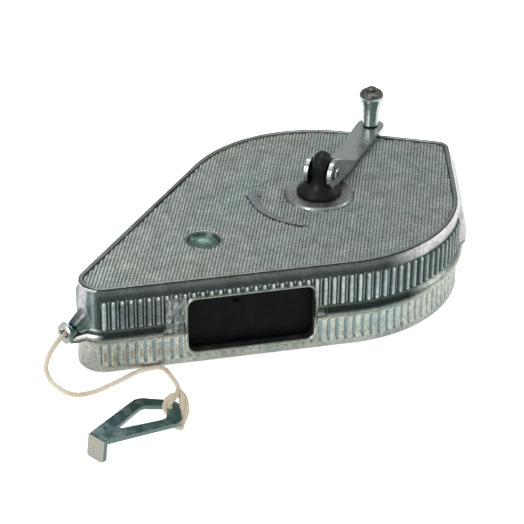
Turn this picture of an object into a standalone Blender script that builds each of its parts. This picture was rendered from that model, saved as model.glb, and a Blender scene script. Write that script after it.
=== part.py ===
"""Chalk line reel: a teardrop die-cast case in two halves, a spool of line, a folding crank and a hook.

Frame: origin on the flat base under the spool axis, +Z up along that axis, the nose towards -X.
Sizes below are in millimetres and become metres where a mesh is made.
"""

import math

import bmesh
import bpy
from mathutils import Matrix, Vector

MM = 0.001
GAP = 0.3  # clearance between separate pieces

# Case outline in plan: the hull of three circles on the X axis
MAIN_R = 40.0
NOSE_X, NOSE_R = -76.5, 6.55
TAIL_X, TAIL_R = 46.4, 3.7
CASE_H = 26.45
FIELD_Z = 25.75  # knurled field inside the rim of the top
RIM = 1.7
SEAM_Z = 10.55
FLOOR_Z = 2.0  # inner face of the lower half
CEILING_Z = 24.5  # inner face of the upper half
WALL = 1.8

# Straight side wall on -Y, measured along it from the nose and outwards from the spool axis
WALL_ANGLE = math.asin((MAIN_R - NOSE_R) / -NOSE_X)
WALL_LENGTH = -NOSE_X * math.cos(WALL_ANGLE)
TAIL_ANGLE = math.acos((MAIN_R - TAIL_R) / TAIL_X)

# Filling window and its sliding door
WINDOW_S = (22.0, 57.2)
WINDOW_Z = (4.0, 20.6)
WINDOW_CORNER = 2.3
FRAME_RIM = 1.5
FRAME_D = 41.4
DOOR_S = (20.3, 58.8)
DOOR_D = (36.4, 37.6)
DOOR_Z = (2.9, 21.8)
RAIL_S = (18.8, 75.5)
RAIL_D = 34.8
NIB_S, NIB_Z = 36.0, 16.4

# Spool and what turns with it
SPOOL_R = 33.5
SPOOL_Z = (3.6, 21.6)
FLANGE = 1.2
CORE_R = 9.0
WINDING_R = 26.0
POST_R, POST_TOP = 3.0, 8.6
WEB_Z = (11.0, 12.6)  # web inside the spool's bore that the hub screw draws on
SOCKET = 7.6  # square socket in the spool
SHAFT_R = 4.4
HUB_HOLE_R = 4.9
HUB_BOSS_R = 9.6
HUB_BOSS_TOP = 26.6
HUB_BASE_R = 6.6

# Crank, in its own frame: origin on the fold axis, +X along the arm
CRANK_AZIMUTH = math.radians(28.7)
CRANK_SIDE = -0.75  # the arm's middle lies this far beside the spool axis
PIVOT_Z = 33.4
CRANK_R = 41.7  # spool axis to knob axis
ARM_TOP = 28.9 - PIVOT_Z
ARM_T = 1.2
BEND_X = 18.3
WEB_START_X = 7.0
EAR_R = 4.2
EAR_Y = (2.95, 4.1)
TONGUE_HALF = 2.6
TONGUE_TOP = 39.8
PIN_R, PIN_HOLE_R = 1.05, 1.4
RIVET_R, RIVET_HOLE_R = 0.9, 1.25
KNOB_H = 11.5

# Lock socket for the knob, in the top wall
SOCKET_X = -42.1
DIMPLE_R, DIMPLE_BOTTOM = 4.85, 23.3

# Case screws: x, y
SCREWS = {
    "nose": (-63.5, -4.0),
    "tail": (42.3, 0.0),
    "left": (37.2 * math.cos(math.radians(66)), 37.2 * math.sin(math.radians(66))),
    "right": (37.2 * math.cos(math.radians(-60)), 37.2 * math.sin(math.radians(-60))),
}
SCREW_SHANK_R, SCREW_HEAD_R = 1.2, 2.3

# Line and hook
LINE_R = 0.7
LINE_Z = 13.5
NOSE_FLAT_X = -88.4
FERRULE_X = (-89.7, -80.8)
FERRULE_FLANGE_R, FERRULE_R, FERRULE_BORE_R = 3.2, 2.0, 1.15
FELT_X = (-79.2, -71.8)
FELT_SEAT_X = (-79.8, -70.9)
FELT_RIB_X = (-71.5, -70.5)
FREE_ROUTE = [
    (-90.1, 0.0, 13.45),
    (-91.8, -0.3, 12.2),
    (-93.7, 0.3, 9.6),
    (-95.1, 0.4, 7.0),
    (-95.8, 0.0, 4.5),
    (-95.9, -1.9, 2.3),
    (-95.3, -4.8, 1.1),
    (-94.3, -8.6, 0.8),
    (-92.2, -10.9, 0.8),
    (-88.7, -12.0, 0.8),
    (-84.8, -12.1, 0.8),
    (-79.5, -11.9, 0.8),
    (-74.8, -11.4, 0.8),
    (-70.8, -11.9, 0.8),
    (-68.2, -13.0, 0.8),
    (-67.3, -15.1, 0.8),
    (-67.9, -18.6, 0.8),
    (-69.2, -23.1, 0.8),
    (-70.7, -25.9, 0.9),
]
KNOT = (-71.5, -28.7, 1.7)
KNOT_R = 1.6
HOOK_ORIGIN = (-104.4, -36.4, 6.7)  # middle of the bend, on the plate's top face
HOOK_AZIMUTH = math.radians(9.0)
HOOK_TILT = math.radians(7.7)
HOOK_T = 1.1
HOOK_TAB = 6.4
LOOP_ROUTE = [
    (-73.1, -29.8, 2.6),
    (-74.7, -30.6, 3.9),
    (-76.8, -31.3, 4.6),
    (-79.0, -31.8, 4.9),
    (-80.8, -32.4, 4.5),
    (-81.7, -32.7, 3.1),
    (-81.3, -33.0, 1.5),
    (-79.9, -33.2, 0.8),
    (-77.3, -33.4, 0.72),
    (-74.8, -33.8, 0.72),
    (-73.5, -34.8, 0.72),
    (-73.6, -36.1, 0.72),
    (-75.1, -37.6, 0.72),
    (-77.4, -38.9, 0.72),
    (-79.8, -40.1, 0.72),
]


def material(name, color, roughness, metallic=0.0):
    """A Principled material of one colour."""
    made = bpy.data.materials.new(name)
    made.use_nodes = True
    shader = made.node_tree.nodes["Principled BSDF"]
    shader.inputs["Base Color"].default_value = (*color, 1.0)
    shader.inputs["Roughness"].default_value = roughness
    shader.inputs["Metallic"].default_value = metallic
    return made


def add_object(name, mesh):
    obj = bpy.data.objects.new(name, mesh)
    bpy.context.scene.collection.objects.link(obj)
    return obj


def empty(name, location, parent=None, turn=0.0):
    """A frame for moving pieces, at a location in its parent's frame."""
    made = add_object(name, None)
    made.location = Vector(location) * MM
    made.rotation_euler.z = turn
    made.parent = parent
    return made


def from_rings(name, rings, ring_shaped=False):
    """A closed mesh through rings of as many points each, capped at its ends unless it is ring shaped."""
    bm = bmesh.new()
    rows = [[bm.verts.new(Vector(p) * MM) for p in ring] for ring in rings]
    pairs = list(zip(rows, rows[1:]))
    if ring_shaped:
        pairs.append((rows[-1], rows[0]))
    else:
        bm.faces.new(rows[0])
        bm.faces.new(rows[-1])
    count = len(rows[0])
    for low, high in pairs:
        for i in range(count):
            j = (i + 1) % count
            bm.faces.new((low[i], low[j], high[j], high[i]))
    bmesh.ops.recalc_face_normals(bm, faces=bm.faces)
    mesh = bpy.data.meshes.new(name)
    bm.to_mesh(mesh)
    bm.free()
    return add_object(name, mesh)


def turned(name, profile, centre=(0.0, 0.0, 0.0), axis="Z", steps=32, ring_shaped=False):
    """A turned piece from (radius, height) points about an axis through a centre."""
    rings = []
    for radius, height in profile:
        ring = []
        for i in range(steps):
            angle = 2 * math.pi * i / steps
            a, b = radius * math.cos(angle), radius * math.sin(angle)
            ring.append({"X": (height, a, b), "Y": (a, height, b), "Z": (a, b, height)}[axis])
        rings.append([tuple(p + c for p, c in zip(point, centre)) for point in ring])
    obj = from_rings(name, rings, ring_shaped)
    smooth(obj)
    return obj


def smooth(obj, angle=35.0):
    obj.data.shade_smooth()
    obj.data.set_sharp_from_angle(angle=math.radians(angle))


def box(name, x, y, z):
    corners = [(x[0], y[0]), (x[1], y[0]), (x[1], y[1]), (x[0], y[1])]
    return from_rings(name, [[(*p, z[0]) for p in corners], [(*p, z[1]) for p in corners]])


def arc(centre, radius, start, end, steps):
    """Points on an arc, angles in radians, both ends included."""
    turn = (end - start) / steps
    return [
        (centre[0] + radius * math.cos(start + i * turn), centre[1] + radius * math.sin(start + i * turn))
        for i in range(steps + 1)
    ]


def teardrop(offset):
    """The case outline, moved outwards by an offset."""
    side = math.pi / 2 + WALL_ANGLE
    main, nose, tail = MAIN_R + offset, NOSE_R + offset, TAIL_R + offset
    return (
        arc((TAIL_X, 0.0), tail, -TAIL_ANGLE, TAIL_ANGLE, 8)
        + arc((0.0, 0.0), main, TAIL_ANGLE, side, 16)
        + arc((NOSE_X, 0.0), nose, side, 2 * math.pi - side, 14)
        + arc((0.0, 0.0), main, 2 * math.pi - side, 2 * math.pi - TAIL_ANGLE, 16)
    )


def loft(name, levels):
    """A solid through (outline, height) levels."""
    return from_rings(name, [[(*p, z) for p in outline] for outline, z in levels])


def case_loft(name, levels):
    return loft(name, [(teardrop(offset), z) for offset, z in levels])


def on_wall(s, d):
    """Plan position at distance s along the -Y side wall and d outwards from the spool axis."""
    normal = Vector((-math.sin(WALL_ANGLE), -math.cos(WALL_ANGLE)))
    along = Vector((math.cos(WALL_ANGLE), -math.sin(WALL_ANGLE)))
    return tuple(normal * d + along * (s - WALL_LENGTH))


def wall_prism(name, outline, d):
    """An outline of (s, z) points, extruded through the side wall between two distances."""
    return from_rings(name, [[(*on_wall(s, depth), z) for s, z in outline] for depth in d])


def wall_box(name, s, d, z):
    return wall_prism(name, [(s[0], z[0]), (s[1], z[0]), (s[1], z[1]), (s[0], z[1])], d)


def rounded_rectangle(x, y, radius, steps=4):
    quarter = math.pi / 2
    corners = [(x[1], y[1], 0), (x[0], y[1], 1), (x[0], y[0], 2), (x[1], y[0], 3)]
    points = []
    for cx, cy, turn in corners:
        centre = (
            cx - radius if cx == x[1] else cx + radius,
            cy - radius if cy == y[1] else cy + radius,
        )
        points += arc(centre, radius, turn * quarter, (turn + 1) * quarter, steps)
    return points


def combine(target, operation, tools):
    """Adds or cuts each tool, which stays in the file as a hidden helper."""
    for tool in tools:
        modifier = target.modifiers.new(tool.name, "BOOLEAN")
        modifier.operation = operation
        modifier.solver = "EXACT"
        modifier.object = tool
        tool.parent = target.parent
        tool.hide_render = True
        tool.display_type = "WIRE"


def add(target, *tools):
    combine(target, "UNION", tools)


def cut(target, *tools):
    combine(target, "DIFFERENCE", tools)


def smooth_curve(points, spacing):
    """Points at an even spacing on a Catmull-Rom curve through a route."""
    route = [Vector(p) for p in points]
    route = [2 * route[0] - route[1], *route, 2 * route[-1] - route[-2]]
    dense = []
    for a, b, c, d in zip(route, route[1:], route[2:], route[3:]):
        for i in range(12):
            t = i / 12
            dense.append(
                0.5 * (2 * b + (c - a) * t + (2 * a - 5 * b + 4 * c - d) * t**2 + (3 * b - a - 3 * c + d) * t**3)
            )
    dense.append(route[-2])
    length = sum((b - a).length for a, b in zip(dense, dense[1:]))
    count = round(length / spacing)
    result, walked, target = [dense[0]], 0.0, length / count
    for a, b in zip(dense, dense[1:]):
        step = (b - a).length
        while walked + step >= target - 1e-6 and len(result) < count:
            result.append(a.lerp(b, (target - walked) / step))
            target += length / count
        walked += step
    result.append(dense[-1])
    return result


def tube(name, route, radius, spacing):
    """A round cord along a smooth curve through a route."""
    points = smooth_curve(route, spacing)
    curve = bpy.data.curves.new(name, "CURVE")
    curve.dimensions = "3D"
    curve.bevel_depth = radius * MM
    curve.bevel_resolution = 2
    curve.use_fill_caps = True
    spline = curve.splines.new("POLY")
    spline.points.add(len(points) - 1)
    for slot, point in zip(spline.points, points):
        slot.co = (*(point * MM), 1.0)
    return add_object(name, curve)


def finish(obj, surface, parent=None):
    obj.data.materials.append(surface)
    if parent:
        obj.parent = parent
        for modifier in obj.modifiers:
            modifier.object.parent = parent
    return obj


def tail_pad():
    """Smooth flared pad round the tail: the case outline pushed out, kept only behind the ribs."""
    pad = case_loft("tail_pad", [(2.2, 12.0), (2.9, 13.4), (3.1, 16.0), (2.2, 20.6), (0.4, 24.6)])
    keep = box("tail_pad_keep", (27.5, 60.0), (-33.0, 33.0), (11.0, 26.0))
    combine(pad, "INTERSECT", [keep])
    return pad


def nose_boss():
    """Narrow swelling on the nose that holds the ferrule, fading out upwards."""
    centre_x = -79.0
    levels = []
    for z, reach, half_y in [
        (SEAM_Z + 0.35, 9.3, 3.9),
        (LINE_Z, 9.9, 3.9),
        (16.0, 7.8, 3.7),
        (18.0, 6.2, 3.3),
        (20.4, 4.4, 2.6),
    ]:
        ellipse = arc((0, 0), 1.0, 0, 2 * math.pi, 20)[:-1]
        levels.append(([(centre_x + reach * x, half_y * y) for x, y in ellipse], z))
    return loft("nose_boss", levels)


def window_frame(name, z):
    """The raised rim round the window, between two heights."""
    s = (WINDOW_S[0] - FRAME_RIM, WINDOW_S[1] + FRAME_RIM)
    whole = wall_prism(
        name,
        rounded_rectangle(s, (WINDOW_Z[0] - FRAME_RIM, WINDOW_Z[1] + FRAME_RIM), WINDOW_CORNER + FRAME_RIM),
        (39.0, FRAME_D),
    )
    keep = wall_box(name + "_keep", (s[0] - 5, s[1] + 5), (38.0, FRAME_D + 1), z)
    combine(whole, "INTERSECT", [keep])
    return whole


def window_cutter(name):
    return wall_prism(name, rounded_rectangle(WINDOW_S, WINDOW_Z, WINDOW_CORNER), (37.5, FRAME_D + 3))


def door_rail(name, z):
    """Lip behind the door's edge, running on past the window towards the tail."""
    return wall_box(name, (RAIL_S[0] + 0.1, RAIL_S[1] - 0.2), (RAIL_D + 0.2, DOOR_D[0] - GAP), z)


def door_stop(name, z):
    """End wall that the closed door rests against."""
    return wall_box(name, (RAIL_S[0] - 0.2, DOOR_S[0] - GAP), (RAIL_D - 0.2, 38.8), z)


def screw_bosses(name, radius, z):
    return [
        turned(f"{name}_{side}", [(radius, z[0]), (radius, z[1])], (x, y, 0), steps=20)
        for side, (x, y) in SCREWS.items()
    ]


def make_case_upper(metal):
    bottom = SEAM_Z + GAP / 2
    shell = case_loft(
        "case_upper",
        [
            (1.2, bottom),
            (2.0, bottom + 0.3),
            (2.15, bottom + 0.9),
            (1.9, bottom + 1.7),
            (0.9, bottom + 2.9),
            (0.5, bottom + 3.5),
            (0.5, CASE_H - 3.8),
            (0.0, CASE_H - 0.4),
            (-0.4, CASE_H),
        ],
    )
    cut(shell, case_loft("field", [(-RIM, FIELD_Z), (-RIM, CASE_H + 1)]))
    boss_r = HUB_BOSS_R + 0.5
    boss = turned("hub_boss", [(boss_r, FIELD_Z - 1), (boss_r, FIELD_Z), (HUB_BOSS_R, HUB_BOSS_TOP)], steps=40)
    add(shell, tail_pad(), nose_boss(), boss)
    cut(shell, wall_box("bead_break", (15.0, 60.5), (40.8, 46.0), (bottom - 1, bottom + 3.6)))
    cut(shell, box("nose_flat", (NOSE_FLAT_X - 5, NOSE_FLAT_X), (-6.0, 6.0), (9.0, 22.0)))
    add(shell, window_frame("frame_upper", (bottom + 0.2, 25.0)))
    cut(shell, case_loft("cavity_upper", [(-WALL, bottom - 2), (-WALL, CEILING_Z)]))
    cup_r = DIMPLE_R + 1.4
    add(
        shell,
        turned("lock_cup", [(cup_r, DIMPLE_BOTTOM - 1.2), (cup_r, CEILING_Z + 0.6)], (SOCKET_X, 0, 0)),
        wall_box("rail_block", RAIL_S, (RAIL_D, 38.6), (DOOR_Z[1] + GAP, CEILING_Z + 0.4)),
        door_rail("rail_upper", (20.0, DOOR_Z[1] + 0.8)),
        door_stop("stop_upper", (bottom + 0.3, CEILING_Z + 0.6)),
        box("felt_seat_upper", FELT_SEAT_X, (-4.0, 4.0), (19.0, CEILING_Z + 0.5)),
        box("felt_rib_upper", FELT_RIB_X, (-5.6, 5.6), (14.9, CEILING_Z + 0.6)),
        *screw_bosses("boss_upper", 2.8, (bottom + 0.1, CEILING_Z + 0.7)),
    )
    dimple = [
        (1.6, DIMPLE_BOTTOM),
        (3.0, DIMPLE_BOTTOM + 0.4),
        (4.2, DIMPLE_BOTTOM + 1.2),
        (DIMPLE_R, FIELD_Z - 0.3),
        (DIMPLE_R + 0.5, FIELD_Z + 0.3),
    ]
    cut(
        shell,
        turned("hub_hole", [(HUB_HOLE_R, CEILING_Z - 2), (HUB_HOLE_R, HUB_BOSS_TOP + 2)]),
        turned("dimple", dimple, (SOCKET_X, 0, 0)),
        turned("ferrule_hole", [(FERRULE_R + GAP, -92.0), (FERRULE_R + GAP, -79.0)], (0, 0, LINE_Z), "X", 24),
        window_cutter("window_upper"),
        *screw_bosses("pilot", SCREW_SHANK_R + GAP, (bottom - 2, 20.0)),
    )
    return finish(shell, metal)


def make_case_lower(metal):
    top = SEAM_Z - GAP / 2
    shell = case_loft("case_lower", [(0.1, 0.0), (0.85, 0.8), (0.6, top)])
    add(shell, window_frame("frame_lower", (0.0, top - 0.2)))
    cut(shell, case_loft("cavity_lower", [(-WALL + 0.1, FLOOR_Z), (-WALL + 0.1, top + 2)]))
    add(
        shell,
        turned("centre_post", [(POST_R, FLOOR_Z - 0.6), (POST_R, POST_TOP - 0.5), (POST_R - 0.5, POST_TOP)], steps=24),
        door_rail("rail_lower", (FLOOR_Z - 0.7, 4.6)),
        door_stop("stop_lower", (FLOOR_Z - 0.9, top - 0.3)),
        box("felt_seat_lower", FELT_SEAT_X, (-4.0, 4.0), (FLOOR_Z - 0.5, 8.0)),
        box("felt_rib_lower", FELT_RIB_X, (-5.6, 5.6), (FLOOR_Z - 0.6, 12.2)),
        *screw_bosses("boss_lower", 3.1, (FLOOR_Z - 0.4, top - 0.1)),
    )
    cut(
        shell,
        window_cutter("window_lower"),
        *screw_bosses("screw_hole", SCREW_SHANK_R + GAP, (-1.0, top + 2)),
        *screw_bosses("counterbore", SCREW_HEAD_R + GAP, (-1.0, 2.9)),
    )
    return finish(shell, metal)


def make_case_screw(side, steel):
    x, y = SCREWS[side]
    head = SCREW_HEAD_R
    profile = [(head - 0.5, 0.5), (head, 0.9), (head, 2.6), (SCREW_SHANK_R, 2.6), (SCREW_SHANK_R, 17.0), (0.5, 18.0)]
    screw = turned(f"case_screw_{side}", profile, (x, y, 0), steps=20)
    for turn, (long, wide) in enumerate([(1.5, 0.3), (0.3, 1.5)]):
        slot = box(f"cross_{side}_{turn}", (x - long, x + long), (y - wide, y + wide), (0.0, 1.3))
        cut(screw, slot)
    return finish(screw, steel)


def make_door(plastic, frame):
    """Door panel in the slide's own frame: +X along the wall towards the tail, -Y outwards."""
    half_s = (DOOR_S[1] - DOOR_S[0]) / 2
    half_z = (DOOR_Z[1] - DOOR_Z[0]) / 2
    thick = DOOR_D[1] - DOOR_D[0]
    outline = rounded_rectangle((-half_s, half_s), (-half_z, half_z), 1.5)
    door = from_rings("chalk_door", [[(x, y, z) for x, z in outline] for y in (-thick / 2, thick / 2)])
    nib_at = (NIB_S - sum(DOOR_S) / 2, 0.0, NIB_Z - sum(DOOR_Z) / 2)
    add(door, turned("nib", [(0.5, -1.5), (0.85, -1.2), (1.0, 0.0)], nib_at, "Y", 16))
    return finish(door, plastic, frame)


def make_ferrule(brass):
    front, back = FERRULE_X
    profile = [
        (FERRULE_BORE_R + 0.5, front),
        (FERRULE_FLANGE_R - 0.4, front),
        (FERRULE_FLANGE_R, front + 0.4),
        (FERRULE_FLANGE_R, front + 1.0),
        (FERRULE_R, front + 1.0),
        (FERRULE_R, back),
        (FERRULE_BORE_R, back),
        (FERRULE_BORE_R, front + 0.5),
    ]
    return finish(turned("line_ferrule", profile, (0, 0, LINE_Z), "X", 28, True), brass)


def make_felt(name, z, felt):
    return finish(box(name, FELT_X, (-3.3, 3.3), z), felt)


def make_spool(plastic, frame):
    low, high = SPOOL_Z
    profile = [
        (POST_R + GAP, low),
        (SPOOL_R, low),
        (SPOOL_R, low + FLANGE),
        (CORE_R, low + FLANGE),
        (CORE_R, high - FLANGE),
        (SPOOL_R, high - FLANGE),
        (SPOOL_R, high),
        (1.6, high),
        (1.6, WEB_Z[0]),
        (POST_R + GAP, WEB_Z[0]),
    ]
    spool = turned("spool", profile, steps=48, ring_shaped=True)
    half = SOCKET / 2
    cut(spool, in_crank_frame(box("spool_socket", (-half, half), (-half, half), (WEB_Z[1], high + 1))))
    return finish(spool, plastic, frame)


def make_winding(twine, frame):
    low, high = SPOOL_Z[0] + FLANGE + GAP, SPOOL_Z[1] - FLANGE - GAP
    crown = 0.6
    profile = [
        (CORE_R + GAP, low),
        (WINDING_R - crown, low),
        (WINDING_R, low + 3),
        (WINDING_R, high - 3),
        (WINDING_R - crown, high),
        (CORE_R + GAP, high),
    ]
    return finish(turned("line_winding", profile, steps=40, ring_shaped=True), twine, frame)


def make_washer(name, radii, z, surface, frame=None):
    profile = [(radii[0], z[0]), (radii[1], z[0]), (radii[1], z[1]), (radii[0], z[1])]
    return finish(turned(name, profile, steps=32, ring_shaped=True), surface, frame)


def in_crank_frame(obj, side=0.0):
    """Turns a mesh about the spool axis from the crank's direction +X to where the crank lies."""
    turn = Matrix.Rotation(CRANK_AZIMUTH, 4, "Z")
    obj.data.transform(turn @ Matrix.Translation((0.0, side * MM, 0.0)))
    return obj


def side_prism(name, outline, y):
    """An outline of (x, z) points extruded along Y."""
    return from_rings(name, [[(x, depth, z) for x, z in outline] for depth in y])


def make_hub(plastic, frame):
    """Square shank in the spool, round shaft through the case, and a bell that flares into the crank's finger."""
    base = HUB_BOSS_TOP + GAP
    profile = [
        (SHAFT_R, 21.9),
        (SHAFT_R, base),
        (HUB_BASE_R - 0.3, base),
        (HUB_BASE_R, base + 0.3),
        (HUB_BASE_R - 0.3, base + 0.6),
        (5.2, base + 1.1),
        (4.3, base + 1.9),
    ]
    hub = turned("drive_hub", profile, steps=40)
    half = SOCKET / 2 - GAP
    shank = box("hub_shank", (-half, half), (-half, half), (WEB_Z[1] + GAP, 22.4))
    wide, shoulder = 3.6, 35.8
    flare = [(5.3, base + 0.9), (4.6, base + 1.6), (4.1, base + 2.6), (3.8, base + 4.2), (wide, base + 6.4)]
    crown = TONGUE_TOP - shoulder
    outline = flare + [(x * wide, shoulder + z * crown) for x, z in arc((0, 0), 1.0, 0, math.pi, 14)]
    outline += [(-x, z) for x, z in reversed(flare)]
    tongue = in_crank_frame(side_prism("hub_tongue", outline, (-TONGUE_HALF, TONGUE_HALF)), CRANK_SIDE)
    add(hub, in_crank_frame(shank), tongue)
    pin_hole = turned("hub_pin_hole", [(PIN_HOLE_R, -5.0), (PIN_HOLE_R, 5.0)], (0, 0, PIVOT_Z), "Y", 20)
    screw_hole = turned("hub_screw_hole", [(1.5, WEB_Z[1] - 1), (1.5, 19.8)], steps=20)
    cut(hub, in_crank_frame(pin_hole), screw_hole)
    return finish(hub, plastic, frame)


def make_hub_screw(steel, frame):
    top = WEB_Z[0] - GAP
    profile = [(2.2, POST_TOP + 0.4), (2.7, POST_TOP + 0.8), (2.7, top), (1.2, top), (1.2, 18.4), (0.5, 19.2)]
    return finish(turned("hub_screw", profile, steps=20), steel, frame)


def make_crank_arm(steel, frame):
    """Pressed arm: two ears on the fold axis, a web that slopes down from them, and a flat plate to the knob."""
    rise = math.atan2(-ARM_TOP, BEND_X) + math.asin(EAR_R / math.hypot(BEND_X, ARM_TOP))
    slope = math.tan(rise)
    web_z = ARM_TOP + (BEND_X - WEB_START_X) * slope
    end_x = CRANK_R + 4.1
    sheet = [
        (WEB_START_X, web_z),
        (WEB_START_X - 0.55, web_z - 1.05),
        (BEND_X - 0.3, ARM_TOP - ARM_T),
        (end_x + 1, ARM_TOP - ARM_T),
        (end_x + 1, ARM_TOP),
        (BEND_X, ARM_TOP),
    ]
    arm = side_prism("crank_arm", sheet, (-4.6, 4.6))
    low = math.atan2(-ARM_TOP + ARM_T, BEND_X) - math.asin(EAR_R / math.hypot(BEND_X, ARM_TOP - ARM_T))
    ear = arc((0, 0), EAR_R, math.pi / 2 - rise, 3 * math.pi / 2 - low, 18)
    ear += [(BEND_X, ARM_TOP - ARM_T), (BEND_X + 0.2, ARM_TOP - 0.1)]
    inner, outer = EAR_Y
    add(arm, side_prism("ear_left", ear, (inner, outer + 0.5)), side_prism("ear_right", ear, (-outer - 0.5, -inner)))
    waist, wide = 3.7, outer
    half = [(-6.0, wide), (13.0, wide), (19.0, waist), (30.0, waist), (40.0, wide)]
    plan = half + arc((CRANK_R, 0), wide, math.pi / 2, -math.pi / 2, 14) + [(x, -y) for x, y in reversed(half)]
    keep = from_rings("arm_plan", [[(*p, z) for p in plan] for z in (-12.0, 12.0)])
    combine(arm, "INTERSECT", [keep])
    cut(
        arm,
        turned("arm_pin_hole", [(PIN_HOLE_R, -6.0), (PIN_HOLE_R, 6.0)], axis="Y", steps=20),
        turned("arm_rivet_hole", [(RIVET_HOLE_R, -8.0), (RIVET_HOLE_R, 0.0)], (CRANK_R, 0, 0), steps=20),
    )
    return finish(arm, steel, frame)


def make_crank_pin(steel, frame):
    """Rivet along the fold axis, with a hollow in each head."""
    face, head, hollow = EAR_Y[1] + GAP, 1.9, 0.7
    half = [(hollow, face - 0.7), (hollow, face + 0.5), (head - 0.3, face + 0.5), (head, face + 0.2), (head, face)]
    half += [(PIN_R, face)]
    profile = [(r, -y) for r, y in half] + list(reversed(half))
    return finish(turned("crank_pin", profile, axis="Y", steps=24), steel, frame)


def make_knob(steel, frame):
    """Turned sleeve: slim foot, flared top, domed end. Heights are above the base."""
    base = ARM_TOP + GAP
    outer = [
        (2.25, 0.0),
        (2.45, 0.25),
        (2.45, 2.0),
        (2.6, 4.0),
        (2.9, 6.0),
        (3.3, 7.6),
        (3.6, 8.6),
        (3.7, 9.3),
        (3.6, 10.1),
        (3.2, 10.8),
        (2.5, 11.3),
        (1.6, KNOB_H),
    ]
    profile = [(RIVET_HOLE_R, 0.0), *outer, (RIVET_HOLE_R, KNOB_H)]
    profile = [(r, z + base) for r, z in profile]
    return finish(turned("crank_knob", profile, steps=32, ring_shaped=True), steel, frame)


def make_knob_rivet(steel, frame):
    head_z = ARM_TOP + GAP + KNOB_H + GAP
    foot_z = ARM_TOP - ARM_T - GAP
    profile = [
        (1.5, foot_z - 0.45),
        (1.9, foot_z - 0.25),
        (1.9, foot_z),
        (RIVET_R, foot_z),
        (RIVET_R, head_z),
        (1.5, head_z),
        (1.35, head_z + 0.35),
        (0.7, head_z + 0.6),
    ]
    return finish(turned("knob_rivet", profile, steps=24), steel, frame)


def hook_outline():
    """Half outlines of the plate and its eye, mirrored about the plate's axis."""
    plate = [(0.0, 2.9), (19.9, 7.75)] + arc((21.15, 3.95), 4.0, math.radians(100), math.radians(30), 5)
    plate += arc((25.85, 0.0), 3.3, math.radians(45), math.radians(15), 2)
    eye = arc((8.4, 0.0), 0.85, math.radians(180), math.radians(105), 3)
    eye += [(18.6, 3.95)] + arc((20.1, 2.1), 2.05, math.radians(95), math.radians(30), 3)
    eye += arc((22.8, 0.0), 1.95, math.radians(50), math.radians(0), 2)
    mirrored = [(x, -y) for x, y in reversed(plate)]
    return plate + mirrored, eye + [(x, -y) for x, y in reversed(eye[1:-1])]


def make_hook(steel, frame):
    plate_outline, eye_outline = hook_outline()
    hook = from_rings("line_hook", [[(*p, z) for p in plate_outline] for z in (-HOOK_T, 0.0)])
    tab = rounded_rectangle((-2.9, 2.9), (-HOOK_TAB, 1.0), 0.8)
    tab_solid = from_rings("hook_tab", [[(x, y, z) for y, z in tab] for x in (-0.7, 0.5)])
    cut(tab_solid, box("hook_tab_trim", (-2.0, 2.0), (-4.0, 4.0), (-0.15, 3.0)))
    add(hook, tab_solid)
    cut(hook, from_rings("hook_eye", [[(*p, z) for p in eye_outline] for z in (-3.0, 2.0)]))
    place = Matrix.Translation((Vector(HOOK_ORIGIN) - Vector(KNOT)) * MM)
    place = place @ Matrix.Rotation(HOOK_AZIMUTH, 4, "Z") @ Matrix.Rotation(HOOK_TILT, 4, "Y")
    for piece in (hook, *(m.object for m in hook.modifiers), *(m.object for m in tab_solid.modifiers)):
        piece.data.transform(place)
    tab_solid.parent = frame
    tab_solid.modifiers[0].object.parent = frame
    return finish(hook, steel, frame)


def make_knot(twine, frame):
    squash = [(math.sin(a), math.cos(a)) for a in (math.radians(12 + 156 * i / 8) for i in range(9))]
    profile = [(KNOT_R * r, -KNOT_R * z) for r, z in squash]
    return finish(turned("line_knot", profile, steps=14), twine, frame)


def make_loop(twine, frame):
    route = [tuple(p - k for p, k in zip(point, KNOT)) for point in LOOP_ROUTE]
    return finish(tube("hook_loop", route, LINE_R, 1.9), twine, frame)


def make_inside_line(twine):
    """From the winding's rim, straight to the nose and out through the ferrule's bore."""
    reach = WINDING_R + LINE_R + GAP
    turn = math.acos(reach / 84.5)
    start = (-reach * math.cos(turn), reach * math.sin(turn), 12.8)
    route = [start, (-43.0, start[1] * 0.535, 13.1), (-72.3, 2.4, 13.4), (-80.2, 0.35, LINE_Z)]
    route += [(-84.0, 0.0, LINE_Z), (FERRULE_X[0] + 0.2, 0.0, LINE_Z)]
    return finish(tube("line_inside", route, LINE_R, 3.6), twine)


def clear_scene():
    for obj in list(bpy.data.objects):
        bpy.data.objects.remove(obj)


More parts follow.
